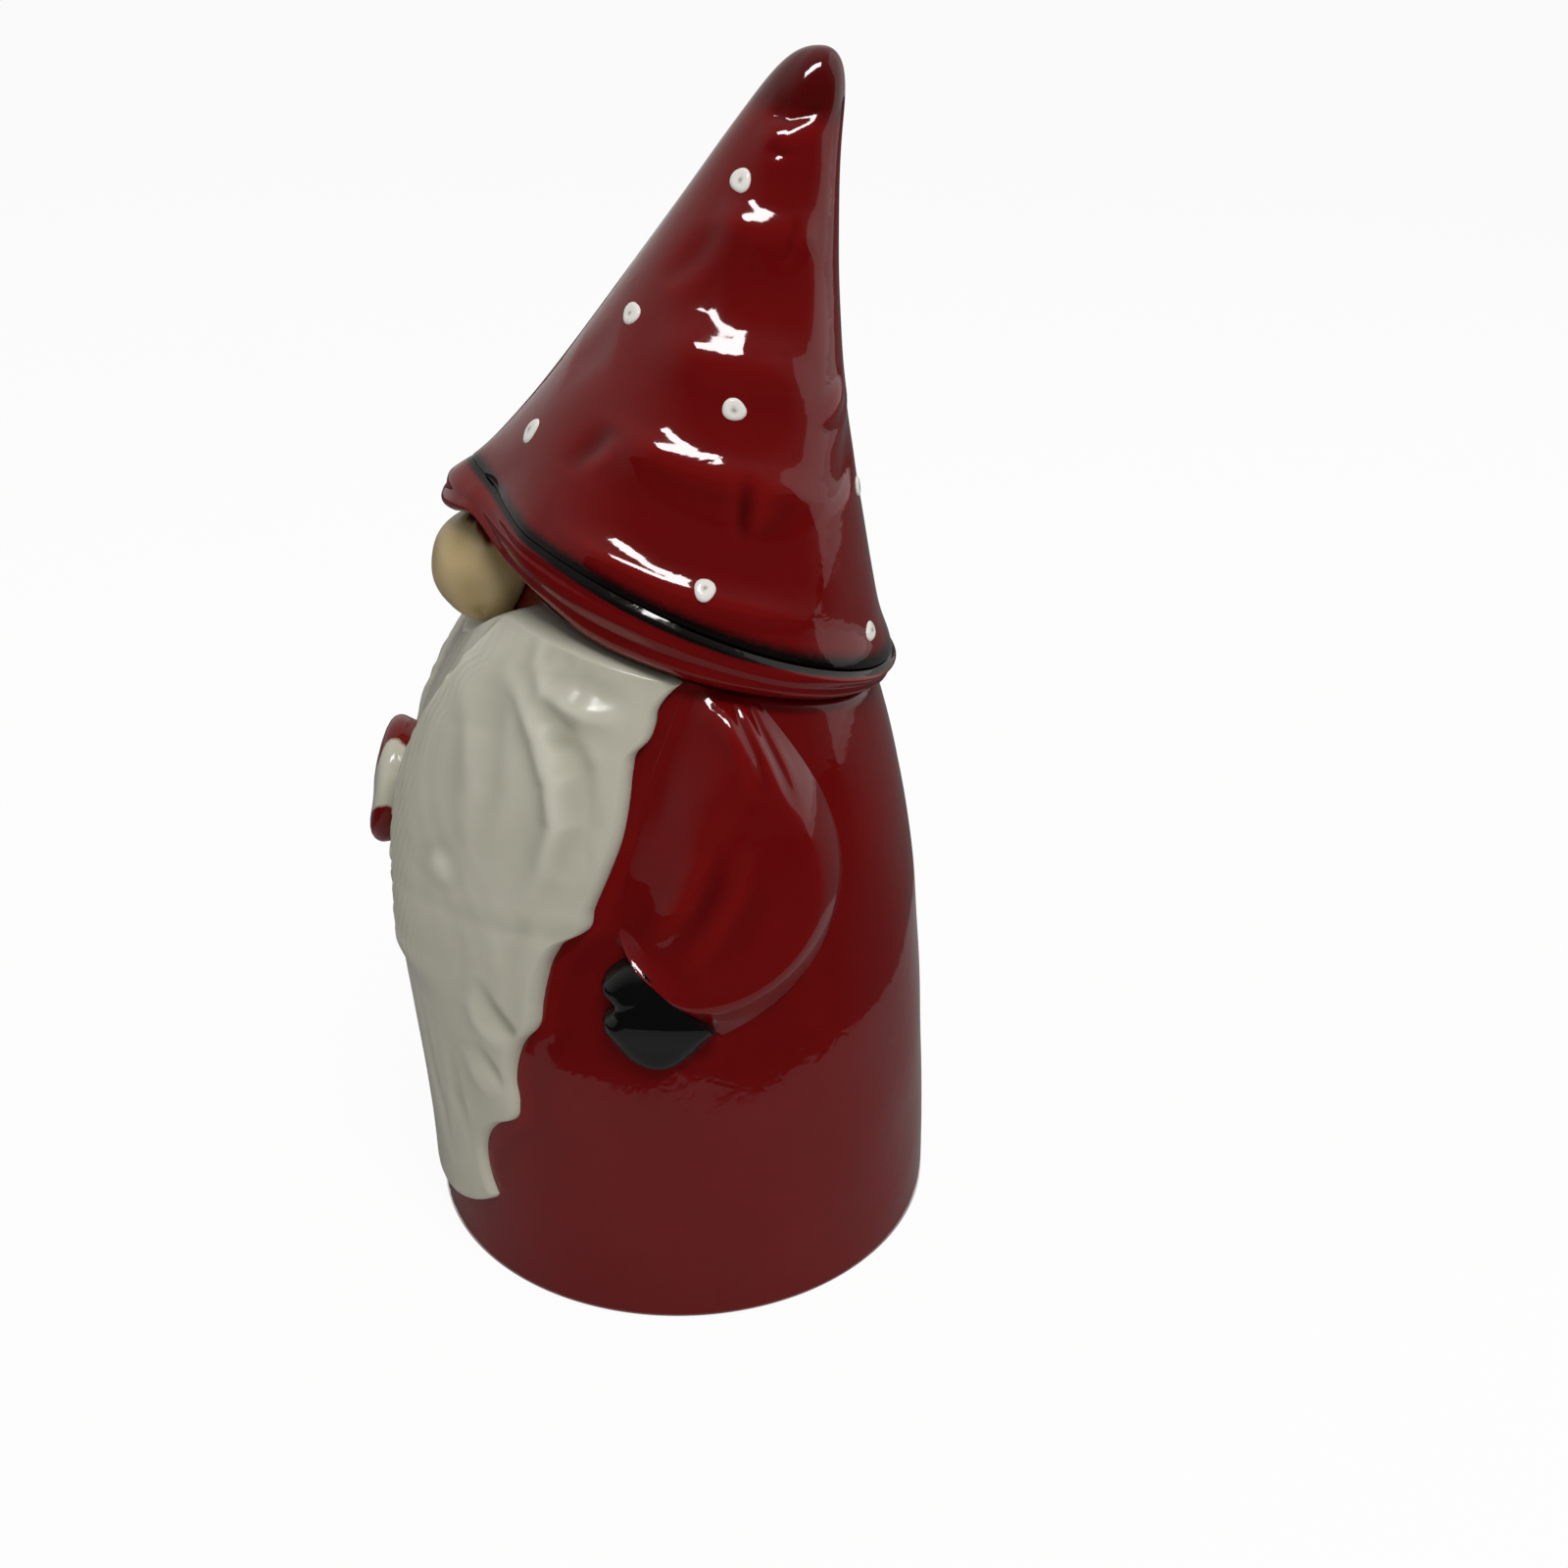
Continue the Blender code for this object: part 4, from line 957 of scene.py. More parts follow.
def beard_thickness(relief, angle, height, level):
    """Height of the beard above the wall: its plain body, and the locks, curl, strands and folds on it."""
    swell = relief.beard_swell * np.sin(np.pi * level**1.6)
    middle = mix(relief.beard_low_thickness, relief.beard_top_thickness, level) + swell
    spread = np.abs(angle) / mix(relief.beard_low_angle, relief.beard_top_angle, level)
    body = mix(middle, relief.beard_edge, np.clip(spread, 0, 1) ** 2.2)
    x = np.abs(angle) * ARM_GIRTH / MM
    y = height / MM
    from_fringe = (np.degrees(np.abs(angle)) - through(FRINGE, y)) * math.radians(1) * ARM_GIRTH / MM
    reach = smoothstep(72, 88, y) * smoothstep(172, 158, y)
    lock = smoothstep(-1.6, 0.8, from_fringe) * smoothstep(26, 2, from_fringe)
    curl_angle, curl_height = CURL
    from_curl = np.hypot(x - math.radians(curl_angle) * ARM_GIRTH / MM, y - curl_height)
    curl = 0.9 * bell(from_curl, 3.2) - 0.15 * bell(from_curl - 5.2, 2)
    drift = x + 5 * np.sin(y / 19 + 0.4) + 2.5 * np.sin(y / 9.3) + 0.12 * (y - 90)
    strands = np.sin(2 * np.pi * drift / STRAND_PITCH + 1.2 * np.sin(y / 17))
    strands *= STRAND_HEIGHT * (0.5 + 0.5 * np.sin(y / 13 + x / 7))
    lean = x - 0.22 * y
    hairs = np.sin(2 * np.pi * lean / HAIR_PITCH + 1.5 * np.sin(y / 11) + np.sin(y / 4.3)) * HAIR_HEIGHT
    hairs *= bell(np.maximum(from_fringe, 0), 8) * reach * smoothstep(-1.0, 1.0, from_fringe)
    detail = (curl + strands + hairs + relief.lock_step / MM * lock * reach) * MM
    return body, detail + folded(angle, height, BEARD_FOLDS)


class GNOME_OT_beard(bpy.types.Operator):
    """Lay the beard on the front of the jar, with its locks, strands and scalloped edge"""

    bl_idname = "gnome.beard"
    bl_label = "Beard"

    def execute(self, context):
        form = jar_form(context)
        lid = lid_form(context)
        relief = context.scene.gnome_relief
        columns, rows = 241, 220
        side = np.sin(np.linspace(-0.5, 0.5, columns) * np.pi)[None, :]
        level = 0.5 - 0.5 * np.cos(np.linspace(0, 1, rows) * np.pi)[:, None]
        side, level = np.broadcast_arrays(side, level)
        top_angle = side * beard_edge(np.array(form.sizes.mouth_height))
        low = relief.beard_bottom + relief.beard_corner * np.abs(side) ** 3
        rim = form.rim(top_angle)[..., 2] - JOIN_GAP
        chin = lid.nose[2] - lid.sizes.nose_radius - relief.notch_spare
        notch = form.rim(0.0)[2] - chin
        high = rim - notch * bump(top_angle, relief.notch_angle)
        height = mix(low, high, level)
        angle = side * beard_edge(height)
        body, detail = beard_thickness(relief, angle, height, level)
        edge = (1 - np.abs(side)) * beard_edge(height) * form.radius(height)
        from_edge = np.minimum(edge, np.minimum(height - low, (high - height) * 2))
        thickness = body * quarter_round(from_edge, relief.beard_round)
        thickness = thickness + detail * smoothstep(0, 5 * MM, from_edge)
        points, faces, looks = wall_pad(form, angle, height, thickness, 0.8 * MM, 10)
        piece = new_piece("beard_relief", points, faces, [shared(white_glaze, context)], looks)
        seated(piece, "jar", "white_glaze", "beard")
        return {"FINISHED"}


def wrist_place(form, relief, along, across):
    """Angle and height of a point that far along and across the forearm from the middle of the cuff."""
    fall = relief.forearm_fall
    level = form.sizes.mouth_height - relief.wrist_drop
    forward = along * np.cos(fall) - across * np.sin(fall)
    down = along * np.sin(fall) + across * np.cos(fall)
    return relief.wrist - forward / form.radius(level), level - down


def sleeve_grid(form, relief, across, along):
    """Angle and height over the sleeve: across runs from its front to its back edge, along to the cuff."""
    mouth = form.sizes.mouth_height
    upper = mouth - relief.upper_arm_drop
    elbow = mouth - relief.elbow_drop
    front_top = beard_edge(np.array(mouth))
    half = relief.cuff_width / 2
    front = (
        (front_top, form.rim(front_top)[2]),
        (beard_edge(np.array(upper)), upper),
        (beard_edge(np.array(elbow)), elbow),
        wrist_place(form, relief, 0.0, -half),
    )
    back = (
        (relief.shoulder_back, form.rim(relief.shoulder_back)[2]),
        (relief.upper_arm, upper),
        (relief.elbow, elbow),
        wrist_place(form, relief, 0.0, half + 0.25 * relief.sleeve_facet),
    )
    front_edge = bezier(front, along)
    front_edge[..., 0] = np.maximum(front_edge[..., 0], beard_edge(front_edge[..., 1]))
    placed = mix(front_edge, bezier(back, along), across[..., None])
    angle = placed[..., 0]
    return angle, np.minimum(placed[..., 1], form.rim(angle)[..., 2] - JOIN_GAP)


class GNOME_OT_arms(bpy.types.Operator):
    """Lay both sleeves and mittens on the jar's sides"""

    bl_idname = "gnome.arms"
    bl_label = "Arms"

    def execute(self, context):
        form = jar_form(context)
        relief = context.scene.gnome_relief
        for name, way in (("left", 1), ("right", -1)):
            self.sleeve(context, form, relief, name, way)
            self.mitten(context, form, relief, name, way)
        return {"FINISHED"}

    def sleeve(self, context, form, relief, name, way):
        columns, rows = 90, 110
        across = 0.5 - 0.5 * np.cos(np.linspace(0, 1, columns) * np.pi)[None, :]
        along = np.linspace(0, 1, rows)[:, None]
        across, along = np.broadcast_arrays(across, along)
        angle, height = sleeve_grid(form, relief, across, along)
        crest = mix(relief.shoulder_thickness, relief.sleeve_thickness, smoothstep(0, 0.75, along))
        first, _ = sleeve_grid(form, relief, np.zeros_like(across), along)
        last, _ = sleeve_grid(form, relief, np.ones_like(across), along)
        girth = form.radius(height)
        from_front = (angle - first) * girth
        from_back = (last - angle) * girth
        rise = smoothstep(0, 20 * MM, from_front)  # slow beside the beard, and quick at the cuff
        rise = mix(rise, smoothstep(0, 3 * MM, from_front), smoothstep(0.72, 1, along))
        slope = from_back / relief.sleeve_facet
        drop = np.clip((slope + 1 - np.sqrt((slope - 1) ** 2 + RIDGE_SOFTNESS)) / 2, 0, 1)
        under_brim = quarter_round(form.rim(angle)[..., 2] - height, relief.shoulder_round)
        hem = relief.sleeve_hem * quarter_round(from_front, 2.5 * MM)
        thickness = np.maximum(crest * rise * mix(0.1, 1, under_brim), hem * mix(0.3, 1, under_brim)) * drop
        folds = folded(angle * way, height, SLEEVE_FOLDS)
        folds = folds * smoothstep(0, 6 * MM, np.minimum(from_front, from_back))
        thickness = thickness + folds * smoothstep(0, 0.06, along) * smoothstep(1, 0.93, along)
        points, faces, looks = wall_pad(form, angle * way, height, thickness, 1.0 * MM, 6)
        piece = new_piece(name + "_arm", points, faces, [shared(red_glaze, context)], looks)
        seated(piece, "jar", "red_glaze", name + "_sleeve")

    def mitten(self, context, form, relief, name, way):
        corners = np.array(MITTEN_OUTLINE) * MM
        count = len(corners)
        place = np.linspace(0, count, count * 8, endpoint=False)
        low = np.floor(place).astype(int)
        share = (place - low)[:, None]
        before, start, end, after = (corners[(low + k) % count] for k in (-1, 0, 1, 2))
        outline = start + share * 0.5 * (end - before)
        outline += share**2 * (before - 2.5 * start + 2 * end - 0.5 * after)
        outline += share**3 * (1.5 * (start - end) + 0.5 * (after - before))
        free = outline[outline[:, 0] > 0.6 * MM]  # all but the edge inside the cuff
        middle = np.array(MITTEN_MIDDLE) * MM
        middle_angle, middle_height = wrist_place(form, relief, *middle)
        angle, height = wrist_place(form, relief, *outline.T)
        rings = [form.on_wall(angle * way, height, -MITTEN_ROOT)]
        heights = []
        for scale in 1 - np.linspace(0, 1, 30)[:-1] ** 1.6:
            flat = mix(middle, outline, scale)
            gaps = flat[:, None, :] - free[None, :, :]
            distance = np.linalg.norm(gaps, axis=2).min(axis=1) * smoothstep(1, 0.98, scale)
            angle, height = wrist_place(form, relief, *flat.T)
            crease = along_fold(flat[:, 0] / MM, flat[:, 1] / MM, THUMB_CREASE, 1.3)
            thickness = relief.mitten_thickness * quarter_round(distance, relief.mitten_round)
            thickness = thickness - 0.35 * MM * crease * smoothstep(0, 2 * MM, distance)
            below = smoothstep(0, 12 * MM, middle_height - height)
            thickness = thickness * (1 - relief.mitten_slope * below)
            rings.append(form.on_wall(angle * way, height, thickness))
            heights.append(thickness)
        angle, height = np.array(middle_angle * way), np.array(middle_height)
        under = form.on_wall(angle, height, -MITTEN_ROOT)
        top = form.on_wall(angle, height, relief.mitten_thickness)
        points, faces = capped(rings, under, top)
        columns = len(outline)
        pool = np.full(len(points), EVEN)
        pool[columns : len(rings) * columns] = pooled(np.array(heights)).ravel()
        piece = new_piece(name + "_hand", points, faces, [shared(black_glaze, context)], [("pool", pool)])
        seated(piece, "jar", "black_glaze", name + "_mitten")


class GNOME_OT_candy(bpy.types.Operator):
    """Set the round candy on the middle of the beard"""

    bl_idname = "gnome.candy"
    bl_label = "Candy"

    def execute(self, context):
        relief = context.scene.gnome_relief
        low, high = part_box("peppermint_candy")
        wedges, twist, turned = 3, 1.7, math.radians(33)
        angle = circle(120)
        rings = []
        swirl = []
        for share, depth in CANDY_PROFILE:
            radius = share * relief.candy_radius
            deep = depth * relief.candy_thickness
            spiral = angle - twist * (1 - share)
            pressed = 0.25 * MM * np.cos(wedges * spiral) * smoothstep(0, 0.5, share) * (depth > 0.6)
            rings.append(np.stack((radius * np.sin(angle), -deep - pressed, radius * np.cos(angle)), axis=-1))
            swirl.append(np.sin(wedges * (spiral + turned)))
        back = (0, -CANDY_PROFILE[0][1] * relief.candy_thickness, 0)
        points, faces = capped(rings, back, (0, -relief.candy_thickness, 0))
        points = points @ np.array(Matrix.Rotation(-relief.candy_tilt, 3, "X")).T
        points[:, 1] += low.y - points[:, 1].min() - AXIS_Y
        points[:, 2] += (low.z + high.z) / 2 - (points[:, 2].min() + points[:, 2].max()) / 2
        looks = [("swirl", [*np.concatenate(swirl), 0, 0]), ("pool", np.full(len(points), EVEN))]
        piece = new_piece("candy_boss", points, faces, [shared(candy_glaze, context)], looks)
        seated(piece, "jar", "white_glaze", "peppermint_candy")
        return {"FINISHED"}


def hat_surface(lid):
    """Angles, shares, points, normals and fold heights of the hat's outside, from the line to the tip."""
    columns, rows = HAT_GRID
    climb = np.linspace(0, 1, rows)
    share = (0.992 * (1 - (1 - climb) ** 1.35))[:, None]  # closer rings near the tip
    angle, share = np.broadcast_arrays(circle(columns)[None, :], share)
    base = lid.point(angle, share)
    folds = lid.folds(angle, share)
    flare = lid.flare(angle) * bell(share * lid.slant, lid.sizes.flare_rise)
    points = base + surface_normals(base) * (folds + flare)[..., None]
    return angle, share, points, surface_normals(points), folds + flare


class GNOME_OT_hat(bpy.types.Operator):
    """Cast the slouched hat: a hollow cone with soft folds and a blunt tip"""

    bl_idname = "gnome.hat"
    bl_label = "Hat"

    def execute(self, context):
        lid = lid_form(context)
        sizes = lid.sizes
        columns, rows = HAT_GRID
        skin = rows * columns
        angle, share, outer, _, height = hat_surface(lid)
        turns = angle[0]
        bore = lid.collar(turns, -JOIN_GAP)
        rings = [*outer[::-1], lid.skirt_top(turns), lid.skirt_bottom(turns)]
        rings += [lid.jar.plane(bore, lift + JOIN_GAP) for lift in (0, sizes.collar_rise)]
        for climb in np.linspace(0, 0.6, 14)[1:]:
            rings.append(lid.point(turns, np.full(turns.shape, climb), sizes.wall))
        points, faces = capped(rings, lid.tip, rings[-1].mean(axis=0))
        inside = len(rings) - rows - 3
        face_looks = [COAT] * (rows + 1) + [CLAY] + [LINER] * inside + [COAT, LINER]
        face_looks = np.repeat(face_looks, columns).tolist()
        pool = np.full(len(points), EVEN)
        tip_shade = 0.3 * smoothstep(0.835, 0.865, share)  # painted shade: the stub above the crease is painted a deeper red
        pool[:skin] = (pooled(height, 8) + tip_shade)[::-1].ravel()
        line = np.zeros(len(points))
        spray = (5.0 + 2.5 * bump(angle, math.radians(50))) * MM
        line[:skin] = smoothstep(spray, 0.6 * MM, share * lid.slant)[::-1].ravel()
        line[skin : skin + columns] = 1
        looks = [("pool", pool), ("line", line)]
        piece = new_piece("hat_cone", points, faces, cast_looks(context), looks, face_looks)
        seated(piece, "lid", "red_glaze", "hat_shell")
        return {"FINISHED"}


class GNOME_OT_brim(bpy.types.Operator):
    """Roll the brim round the foot of the hat, raised over the nose"""

    bl_idname = "gnome.brim"
    bl_label = "Brim"

    def execute(self, context):
        lid = lid_form(context)
        sizes = lid.sizes
        columns, steps = 288, 34
        angle = circle(columns)
        out = column(angle)
        back_low = lid.skirt_at(angle, lid.lip(angle)) + out * EDGE_GAP
        back_top = lifted(lid.skirt_top(angle) + out * EDGE_GAP, -EDGE_GAP)
        rim_out = np.maximum(lid.flare(angle) - JOIN_GAP, 0)
        top = lifted(lid.point(angle, np.zeros(columns)), -JOIN_GAP) + out * rim_out[:, None]
        visor = bump(angle, sizes.visor_angle)
        behind = smoothstep(1.7, 2.6, off_front(angle))
        side_lip = mix(sizes.lip_thickness, sizes.back_lip_thickness, behind)
        thick = mix(side_lip, sizes.visor_thickness, visor)
        bulge = mix(sizes.brim_bulge * mix(1.0, 0.6, behind), sizes.visor_bulge, visor)
        bottom = back_low + out * thick[:, None]
        face = np.linalg.norm(top - bottom, axis=1)
        band = by_angle(BAND_DEPTH, angle) * MM
        rings = [back_low, back_top]
        swells, painted = [], []
        for share in np.linspace(0, 1, steps):
            swell = bulge * np.sin(np.pi * min(share * 1.04, 1)) ** 0.75
            ridge = sum(rise * bell(share - place, width) for rise, place, width in BRIM_RIDGES)
            bead = bell(share * face - 1.7 * MM, 1.0 * MM) * (1 - visor)
            ridge = sizes.brim_ridge * ridge + sizes.brim_bead * bead
            lip = 1.5 * MM * (1 - quarter_round(1 - share, 0.18))
            uneven = 0.18 * MM * np.sin(5 * angle + 7 * share) + 0.12 * MM * np.sin(11 * angle - 4 * share)
            offset = swell + ridge - lip + uneven * np.sin(np.pi * share)
            rings.append(mix(top, bottom, share) + out * offset[:, None])
            swells.append(ridge + uneven)
            # painted shade: the lowest tenth of the face, by the lip, is darkened towards the line's black, as
            # the shadow under the brim
            shade = 0.8 * smoothstep(0.9, 1.0, share)
            painted.append(np.maximum(smoothstep(band + 0.9 * MM, band, share * face), shade))
        rings.append(lifted(mix(rings[-1], back_low, 0.5), 0.2 * MM))
        points, faces = hoop(rings)
        first, last = 2 * columns, (2 + steps) * columns
        pool = np.full(len(points), EVEN)
        pool[first:last] = pooled(np.array(swells), 4).ravel()
        # painted shade: the brim's faces against the hat get the line's black at 0.4, and the strip under the
        # lip gets it at 0.85
        line = np.full(len(points), 0.4)
        line[first:last] = np.concatenate(painted)
        line[last:] = 0.85
        looks = [("pool", pool), ("line", line)]
        piece = new_piece("rolled_brim", points, faces, [shared(red_glaze, context)], looks)
        seated(piece, "lid", "red_glaze", "hat_brim")
        return {"FINISHED"}


class GNOME_OT_nose(bpy.types.Operator):
    """Set the nose ball under the brim"""

    bl_idname = "gnome.nose"
    bl_label = "Nose"

    def execute(self, context):
        lid = lid_form(context)
        radius = lid.sizes.nose_radius
        builder = bmesh.new()
        bmesh.ops.create_uvsphere(builder, u_segments=96, v_segments=64, radius=1)
        unit = np.array([vert.co for vert in builder.verts])
        faces = [tuple(vert.index for vert in face.verts) for face in builder.faces]
        builder.free()
        bearing = np.arctan2(unit[:, 0], -unit[:, 1])
        x = bearing * radius / MM
        y = unit[:, 2] * radius / MM
        dents = 0.18 * ripples(x, y, 11)
        for path in NOSE_CREASES:
            dents -= 0.35 * along_fold(x, y, path, 0.8)
        dents *= smoothstep(-1.0, -0.6, -np.abs(unit[:, 2]))
        points = unit * (radius + dents * MM)[:, None] + lid.nose
        angle = np.arctan2(points[:, 0], -points[:, 1])
        seat = lid.skirt_at(angle, points[:, 2]) + column(angle) * JOIN_GAP
        above = points[:, 2] > lid.skirt_bottom(angle)[:, 2]
        jar_wall = lid.jar.radius(points[:, 2]) + JOIN_GAP
        least = np.where(above, np.hypot(seat[:, 0], seat[:, 1]), jar_wall)
        reach = np.hypot(points[:, 0], points[:, 1])
        points[:, :2] *= (np.maximum(reach, least) / reach)[:, None]
        rise = (points[:, 2] - lid.nose[2]) / radius
        behind = (points[:, 1] - lid.nose[1]) / radius
        ragged = 0.04 * np.sin(9 * bearing) + 0.02 * np.sin(23 * bearing + 2)
        runs = smoothstep(0.0, 0.12, rise + 0.75 * behind - 0.62 + ragged)
        looks = [("pool", np.clip(EVEN - dents, 0, 1)), ("runs", runs)]
        piece = new_piece("nose_ball", points, faces, [shared(tan_glaze, context)], looks)
        seated(piece, "lid", "tan_glaze", "nose")
        return {"FINISHED"}


class GNOME_OT_collar(bpy.types.Operator):
    """Turn the lid's locating collar"""

    bl_idname = "gnome.collar"
    bl_label = "Collar"

    def execute(self, context):
        lid = lid_form(context)
        rise, wall = lid.sizes.collar_rise, lid.sizes.collar_wall
        bottom = -lid.sizes.collar_depth
        soft = 0.8 * MM
        corner = ((0, soft), (0.3 * soft, 0.3 * soft), (soft, 0))
        section = [(0, rise), (0, 0)]
        section += [(inset, bottom + lift) for inset, lift in corner]
        section += [(wall - inset, bottom + lift) for inset, lift in reversed(corner)]
        section += [(wall, 0), (wall, rise)]
        angle = circle(144)
        points, faces = hoop([lid.jar.plane(lid.collar(angle, inset), lift) for inset, lift in section])
        piece = new_piece("seat_collar", points, faces, [shared(bare_clay, context)])
        seated(piece, "lid", "red_glaze", "lid_collar")
        return {"FINISHED"}


class GNOME_OT_dots(bpy.types.Operator):
    """Dab the white enamel dots on the hat"""

    bl_idname = "gnome.dots"
    bl_label = "Dots"

    def execute(self, context):
        lid = lid_form(context)
        sizes = lid.sizes
        angles, shares, points, normals, _ = hat_surface(lid)
        places = [BACK_DOT, *SIDE_DOTS, *[(-degrees, share) for degrees, share in SIDE_DOTS]]
        columns = 40
        turns = circle(columns)
        hat_curve = 26 * MM  # the dots bend with a cone of about this radius
        for number, (degrees, share) in enumerate(places, start=1):
            away = off_front(angles - math.radians(degrees))
            spot = np.unravel_index(np.argmin(away + 6 * np.abs(shares - share)), away.shape)
            centre, normal = points[spot], normals[spot]
            across = np.cross((0, 0, 1), normal)
            across /= np.linalg.norm(across)
            up = np.cross(normal, across)
            uneven = 1 + 0.07 * np.sin(2 * turns + number) + 0.05 * np.sin(3 * turns + 2.3 * number)
            stretch = 1 + 0.12 * math.sin(2.1 * number)
            rings = []
            middles = []
            for reach, rise in DOT_PROFILE:
                x = reach * sizes.dot_radius * uneven * np.cos(turns) * stretch
                y = reach * sizes.dot_radius * uneven * np.sin(turns) / stretch
                lift = rise * sizes.dot_height - x**2 / (2 * hat_curve)
                rings.append(centre + x[:, None] * across + y[:, None] * up + lift[:, None] * normal)
                thin = smoothstep(0.4, 0.1, reach) * (0.6 + 0.4 * np.sin(turns + number))
                middles.append(np.broadcast_to(0.25 + 0.7 * thin, columns))
            root = centre + normal * DOT_PROFILE[0][1] * sizes.dot_height
            cloud, faces = capped(rings, root, centre + normal * 0.89 * sizes.dot_height)
            pool = [*np.concatenate(middles), 0.25, 0.95]
            name = f"enamel_dot_{number:02d}"
            piece = new_piece(name, cloud, faces, [shared(dot_enamel, context)], [("pool", pool)])
            seated(piece, "lid", "white_enamel", f"hat_dot_{number:02d}")
        return {"FINISHED"}


def looked_at(material):
    """Socket that gives 1 for what is looked at, straight, in a reflection or through glass."""
    path = add(material, "LightPath").outputs
    seen = add(material, "Math", {0: path["Is Camera Ray"], 1: path["Is Glossy Ray"]}, operation="MAXIMUM")
    either = {0: seen.outputs[0], 1: path["Is Transmission Ray"]}
    return add(material, "Math", either, operation="MAXIMUM").outputs[0]


class GNOME_OT_studio(bpy.types.Operator):
    """Set the floor, the soft lights, the plain room and the camera"""

    bl_idname = "gnome.studio"
    bl_label = "Studio"

    def execute(self, context):
        studio = context.scene.gnome_studio
        context.scene.view_settings.view_transform = "Standard"
        self.floor(studio)
        self.room(context, studio)
        self.dome(studio)
        self.lamp("key", (0.53, 0.15, 1.12), (0.62, 0.15), studio.key_power, (0, 0.01, 0.15))
        overhead = self.lamp("overhead", (-0.1, 0.05, 1.7), (2.0, 2.0), studio.fill_power, (0, 0.0, 0.1))
        overhead.visible_glossy = False
        self.lamp("side_window", (-0.45, 1.25, 0.6), (1.2, 1.5), studio.window_power, (0, 0, 0.15))
        self.card("grey_card", 0.0668, 0.19, 0.3, 0.3)
        self.card("dark_card", 0.19, 12.0, 0.03, 0.2)
        self.camera(context, studio)
        return {"FINISHED"}

    def stand(self, name, points, faces, material, reflected=True):
        """Puts a piece of the stage in place; one that is only reflected gives depth to the gloss."""
        mesh = bpy.data.meshes.new(name)
        mesh.from_pydata(np.asarray(points, float).tolist(), [], faces)
        mesh.materials.append(material)
        piece = bpy.data.objects.new(name, mesh)
        bpy.context.scene.collection.objects.link(piece)
        if reflected:
            piece.visible_camera = piece.visible_diffuse = False
            piece.visible_shadow = piece.visible_transmission = False

    def floor(self, studio):
        """Pale matte floor, nearly white where it is looked at, with the object's shadow."""
        reach, whiteness = 14.0, 0.94
        corners = [(x * reach, y * reach, 0) for x, y in ((-1, -1), (1, -1), (1, 1), (-1, 1))]
        material = new_material("pale_matte_floor")
        lit = add(material, "BsdfDiffuse", {"Color": rgba(studio.floor)}).outputs[0]
        glow = add(material, "Emission", {"Color": (1, 1, 1, 1), "Strength": 1.0}).outputs[0]
        part = add(material, "Math", {0: looked_at(material), 1: whiteness}, operation="MULTIPLY").outputs[0]
        both = add(material, "MixShader", {0: part, 1: lit, 2: glow}).outputs[0]
        add(material, "OutputMaterial", {"Surface": both})
        self.stand("floor", corners, [(0, 1, 2, 3)], material, reflected=False)

    def card(self, name, inner, outer, grey, back_grey):
        """A ring of matte card on the floor that only reflections see, paler behind the object."""
        columns = 96
        rings = [lifted(column(circle(columns)) * reach, 0.3 * MM) for reach in (inner, outer)]
        material = new_material(name)
        place = add(material, "TexCoord").outputs["Object"]
        across = add(material, "SeparateXYZ", {0: place}).outputs["X"]
        fade = {"Value": across, "From Min": 0.1, "From Max": -0.3, "To Min": grey, "To Max": back_grey}
        matte = add(material, "BsdfDiffuse", {"Color": add(material, "MapRange", fade).outputs[0]})
        add(material, "OutputMaterial", {"Surface": matte.outputs[0]})
        self.stand(name, np.concatenate(rings) + (0, AXIS_Y, 0), ring_faces(0, 2, columns), material)

    def room(self, context, studio):
        """A plain dim room that lights the jar, white where it is looked at."""
        world = bpy.data.worlds.new("plain_room")
        world.use_nodes = True
        background = world.node_tree.nodes["Background"]
        background.inputs["Color"].default_value = (1, 1, 1, 1)
        level = add(world, "MapRange", {"Value": looked_at(world), "To Min": studio.room, "To Max": 1.0})
        world.node_tree.links.new(level.outputs[0], background.inputs["Strength"])
        context.scene.world = world

    def dome(self, studio):
        """A dome of card that only reflections see, darker on the camera's side."""
        reach, columns = 3.0, 48
        round_about = column(circle(columns)) * reach
        bends = np.radians((0, 15, 30, 45, 60, 75, 88))
        rings = [lifted(round_about * np.cos(bend), reach * np.sin(bend)) for bend in bends]
        points = np.concatenate([*rings, [(0, 0, reach)]])
        top = len(points) - 1
        faces = ring_faces(0, len(rings), columns) + fan(top, list(range(top - columns, top)))
        material = new_material("dark_dome_card")
        place = add(material, "TexCoord").outputs["Object"]
        side = add(material, "VectorMath", {0: place, 1: (-0.27, -0.09, 0.067)}, operation="DOT_PRODUCT")
        fade = {"Value": side.outputs["Value"], "From Min": -0.5, "From Max": 0.8}
        fade |= {"To Min": studio.room * 0.14, "To Max": studio.room * 2.4}
        level = add(material, "MapRange", fade).outputs[0]
        glow = add(material, "Emission", {"Color": (0.94, 0.93, 0.91, 1), "Strength": level})
        add(material, "OutputMaterial", {"Surface": glow.outputs[0]})
        self.stand("dark_dome", points, faces, material)

    def lamp(self, name, place, sides, power, aim):
        light = bpy.data.lights.new(name, "AREA")
        light.shape = "RECTANGLE"
        light.size, light.size_y = sides
        light.energy = power
        lamp = bpy.data.objects.new(name, light)
        bpy.context.scene.collection.objects.link(lamp)
        lamp.location = place
        lamp.rotation_euler = (Vector(aim) - Vector(place)).to_track_quat("-Z", "Y").to_euler()
        return lamp

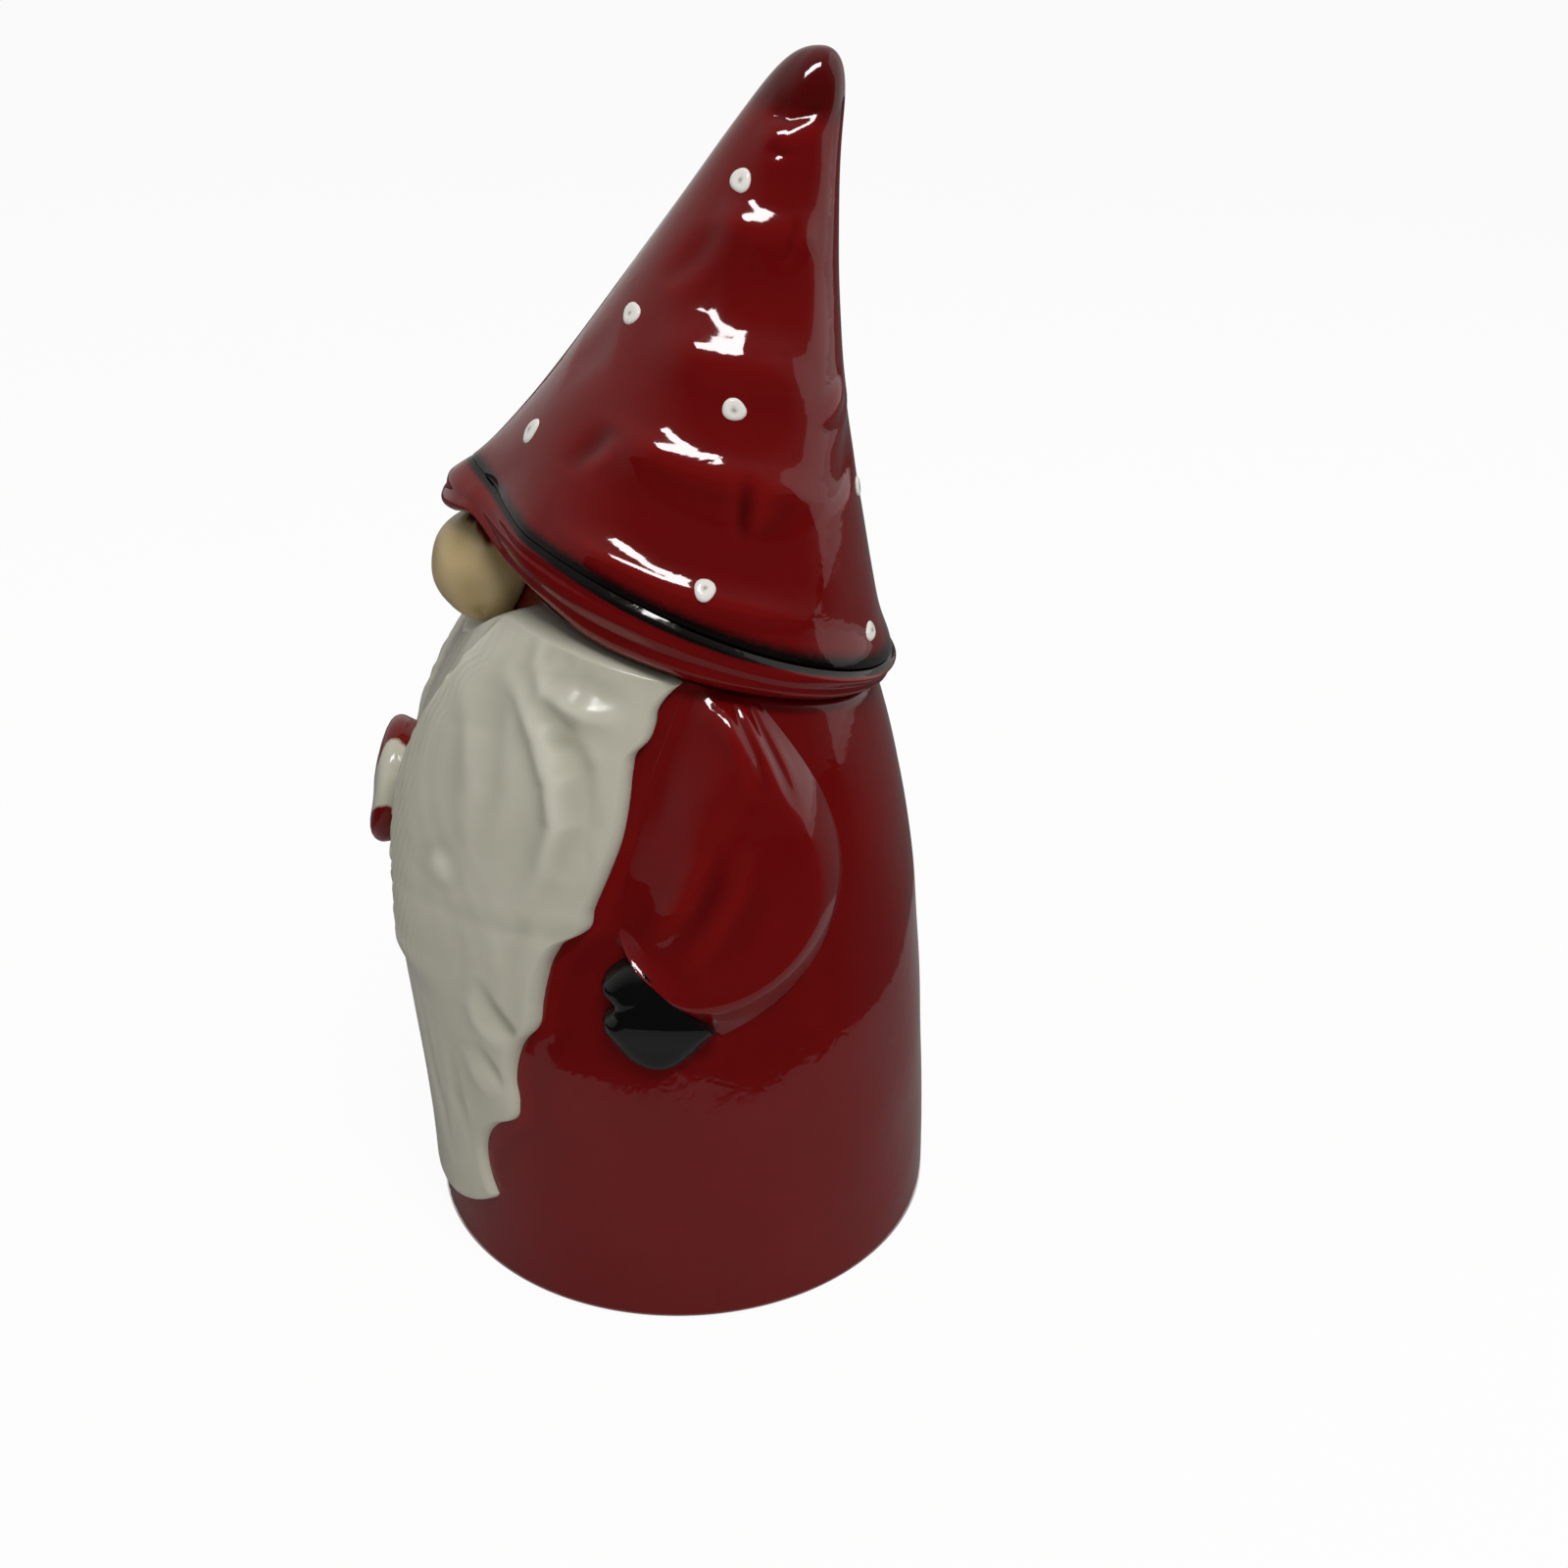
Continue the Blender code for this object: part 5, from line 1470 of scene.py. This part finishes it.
    def camera(self, context, studio):
        a, e = studio.azimuth, studio.elevation
        back = Vector((math.sin(a) * math.cos(e), -math.cos(a) * math.cos(e), math.sin(e)))
        right = (-back).cross(Vector((0, 0, 1))).normalized()
        up = back.cross(right)
        tilt = Matrix.Rotation(studio.roll, 3, back)
        target = Vector((0, studio.target_back + AXIS_Y, studio.target_height))
        place = target + back * studio.distance
        turned = Matrix((tilt @ right, tilt @ up, back)).transposed().to_4x4()
        data = bpy.data.cameras.new("photo_camera")
        data.sensor_width = 36
        data.lens = studio.lens
        data.clip_start = 0.01
        camera = bpy.data.objects.new("photo_camera", data)
        context.scene.collection.objects.link(camera)
        camera.matrix_world = Matrix.Translation(place) @ turned
        context.scene.camera = camera


PROPERTY_GROUPS = (
    ("gnome_jar", GNOME_PG_jar),
    ("gnome_hat", GNOME_PG_hat),
    ("gnome_relief", GNOME_PG_relief),
    ("gnome_glaze", GNOME_PG_glaze),
    ("gnome_studio", GNOME_PG_studio),
)
OPERATORS = (
    GNOME_OT_jar,
    GNOME_OT_beard,
    GNOME_OT_arms,
    GNOME_OT_candy,
    GNOME_OT_hat,
    GNOME_OT_brim,
    GNOME_OT_nose,
    GNOME_OT_collar,
    GNOME_OT_dots,
    GNOME_OT_studio,
)


class GNOME_PT_panel(bpy.types.Panel):
    """Sizes, colours and pieces of the gnome jar"""

    bl_label = "Gnome cookie jar"
    bl_idname = "GNOME_PT_panel"
    bl_space_type = "VIEW_3D"
    bl_region_type = "UI"
    bl_category = "Gnome Jar"

    def draw(self, context):
        layout = self.layout
        for operator in OPERATORS:
            layout.operator(operator.bl_idname)
        for name, group in PROPERTY_GROUPS:
            box = layout.box()
            box.label(text=group.__doc__)
            for label in group.__annotations__:
                box.prop(getattr(context.scene, name), label)


def register():
    for name, group in PROPERTY_GROUPS:
        bpy.utils.register_class(group)
        setattr(bpy.types.Scene, name, PointerProperty(type=group))
    for made in (*OPERATORS, GNOME_PT_panel):
        bpy.utils.register_class(made)


def unregister():
    for made in reversed((*OPERATORS, GNOME_PT_panel)):
        bpy.utils.unregister_class(made)
    for name, group in reversed(PROPERTY_GROUPS):
        delattr(bpy.types.Scene, name)
        bpy.utils.unregister_class(group)


def main():
    register()
    bpy.ops.gnome.jar()
    bpy.ops.gnome.beard()
    bpy.ops.gnome.arms()
    bpy.ops.gnome.candy()
    bpy.ops.gnome.hat()
    bpy.ops.gnome.brim()
    bpy.ops.gnome.nose()
    bpy.ops.gnome.collar()
    bpy.ops.gnome.dots()
    bpy.ops.gnome.studio()


if __name__ == "__main__":
    main()
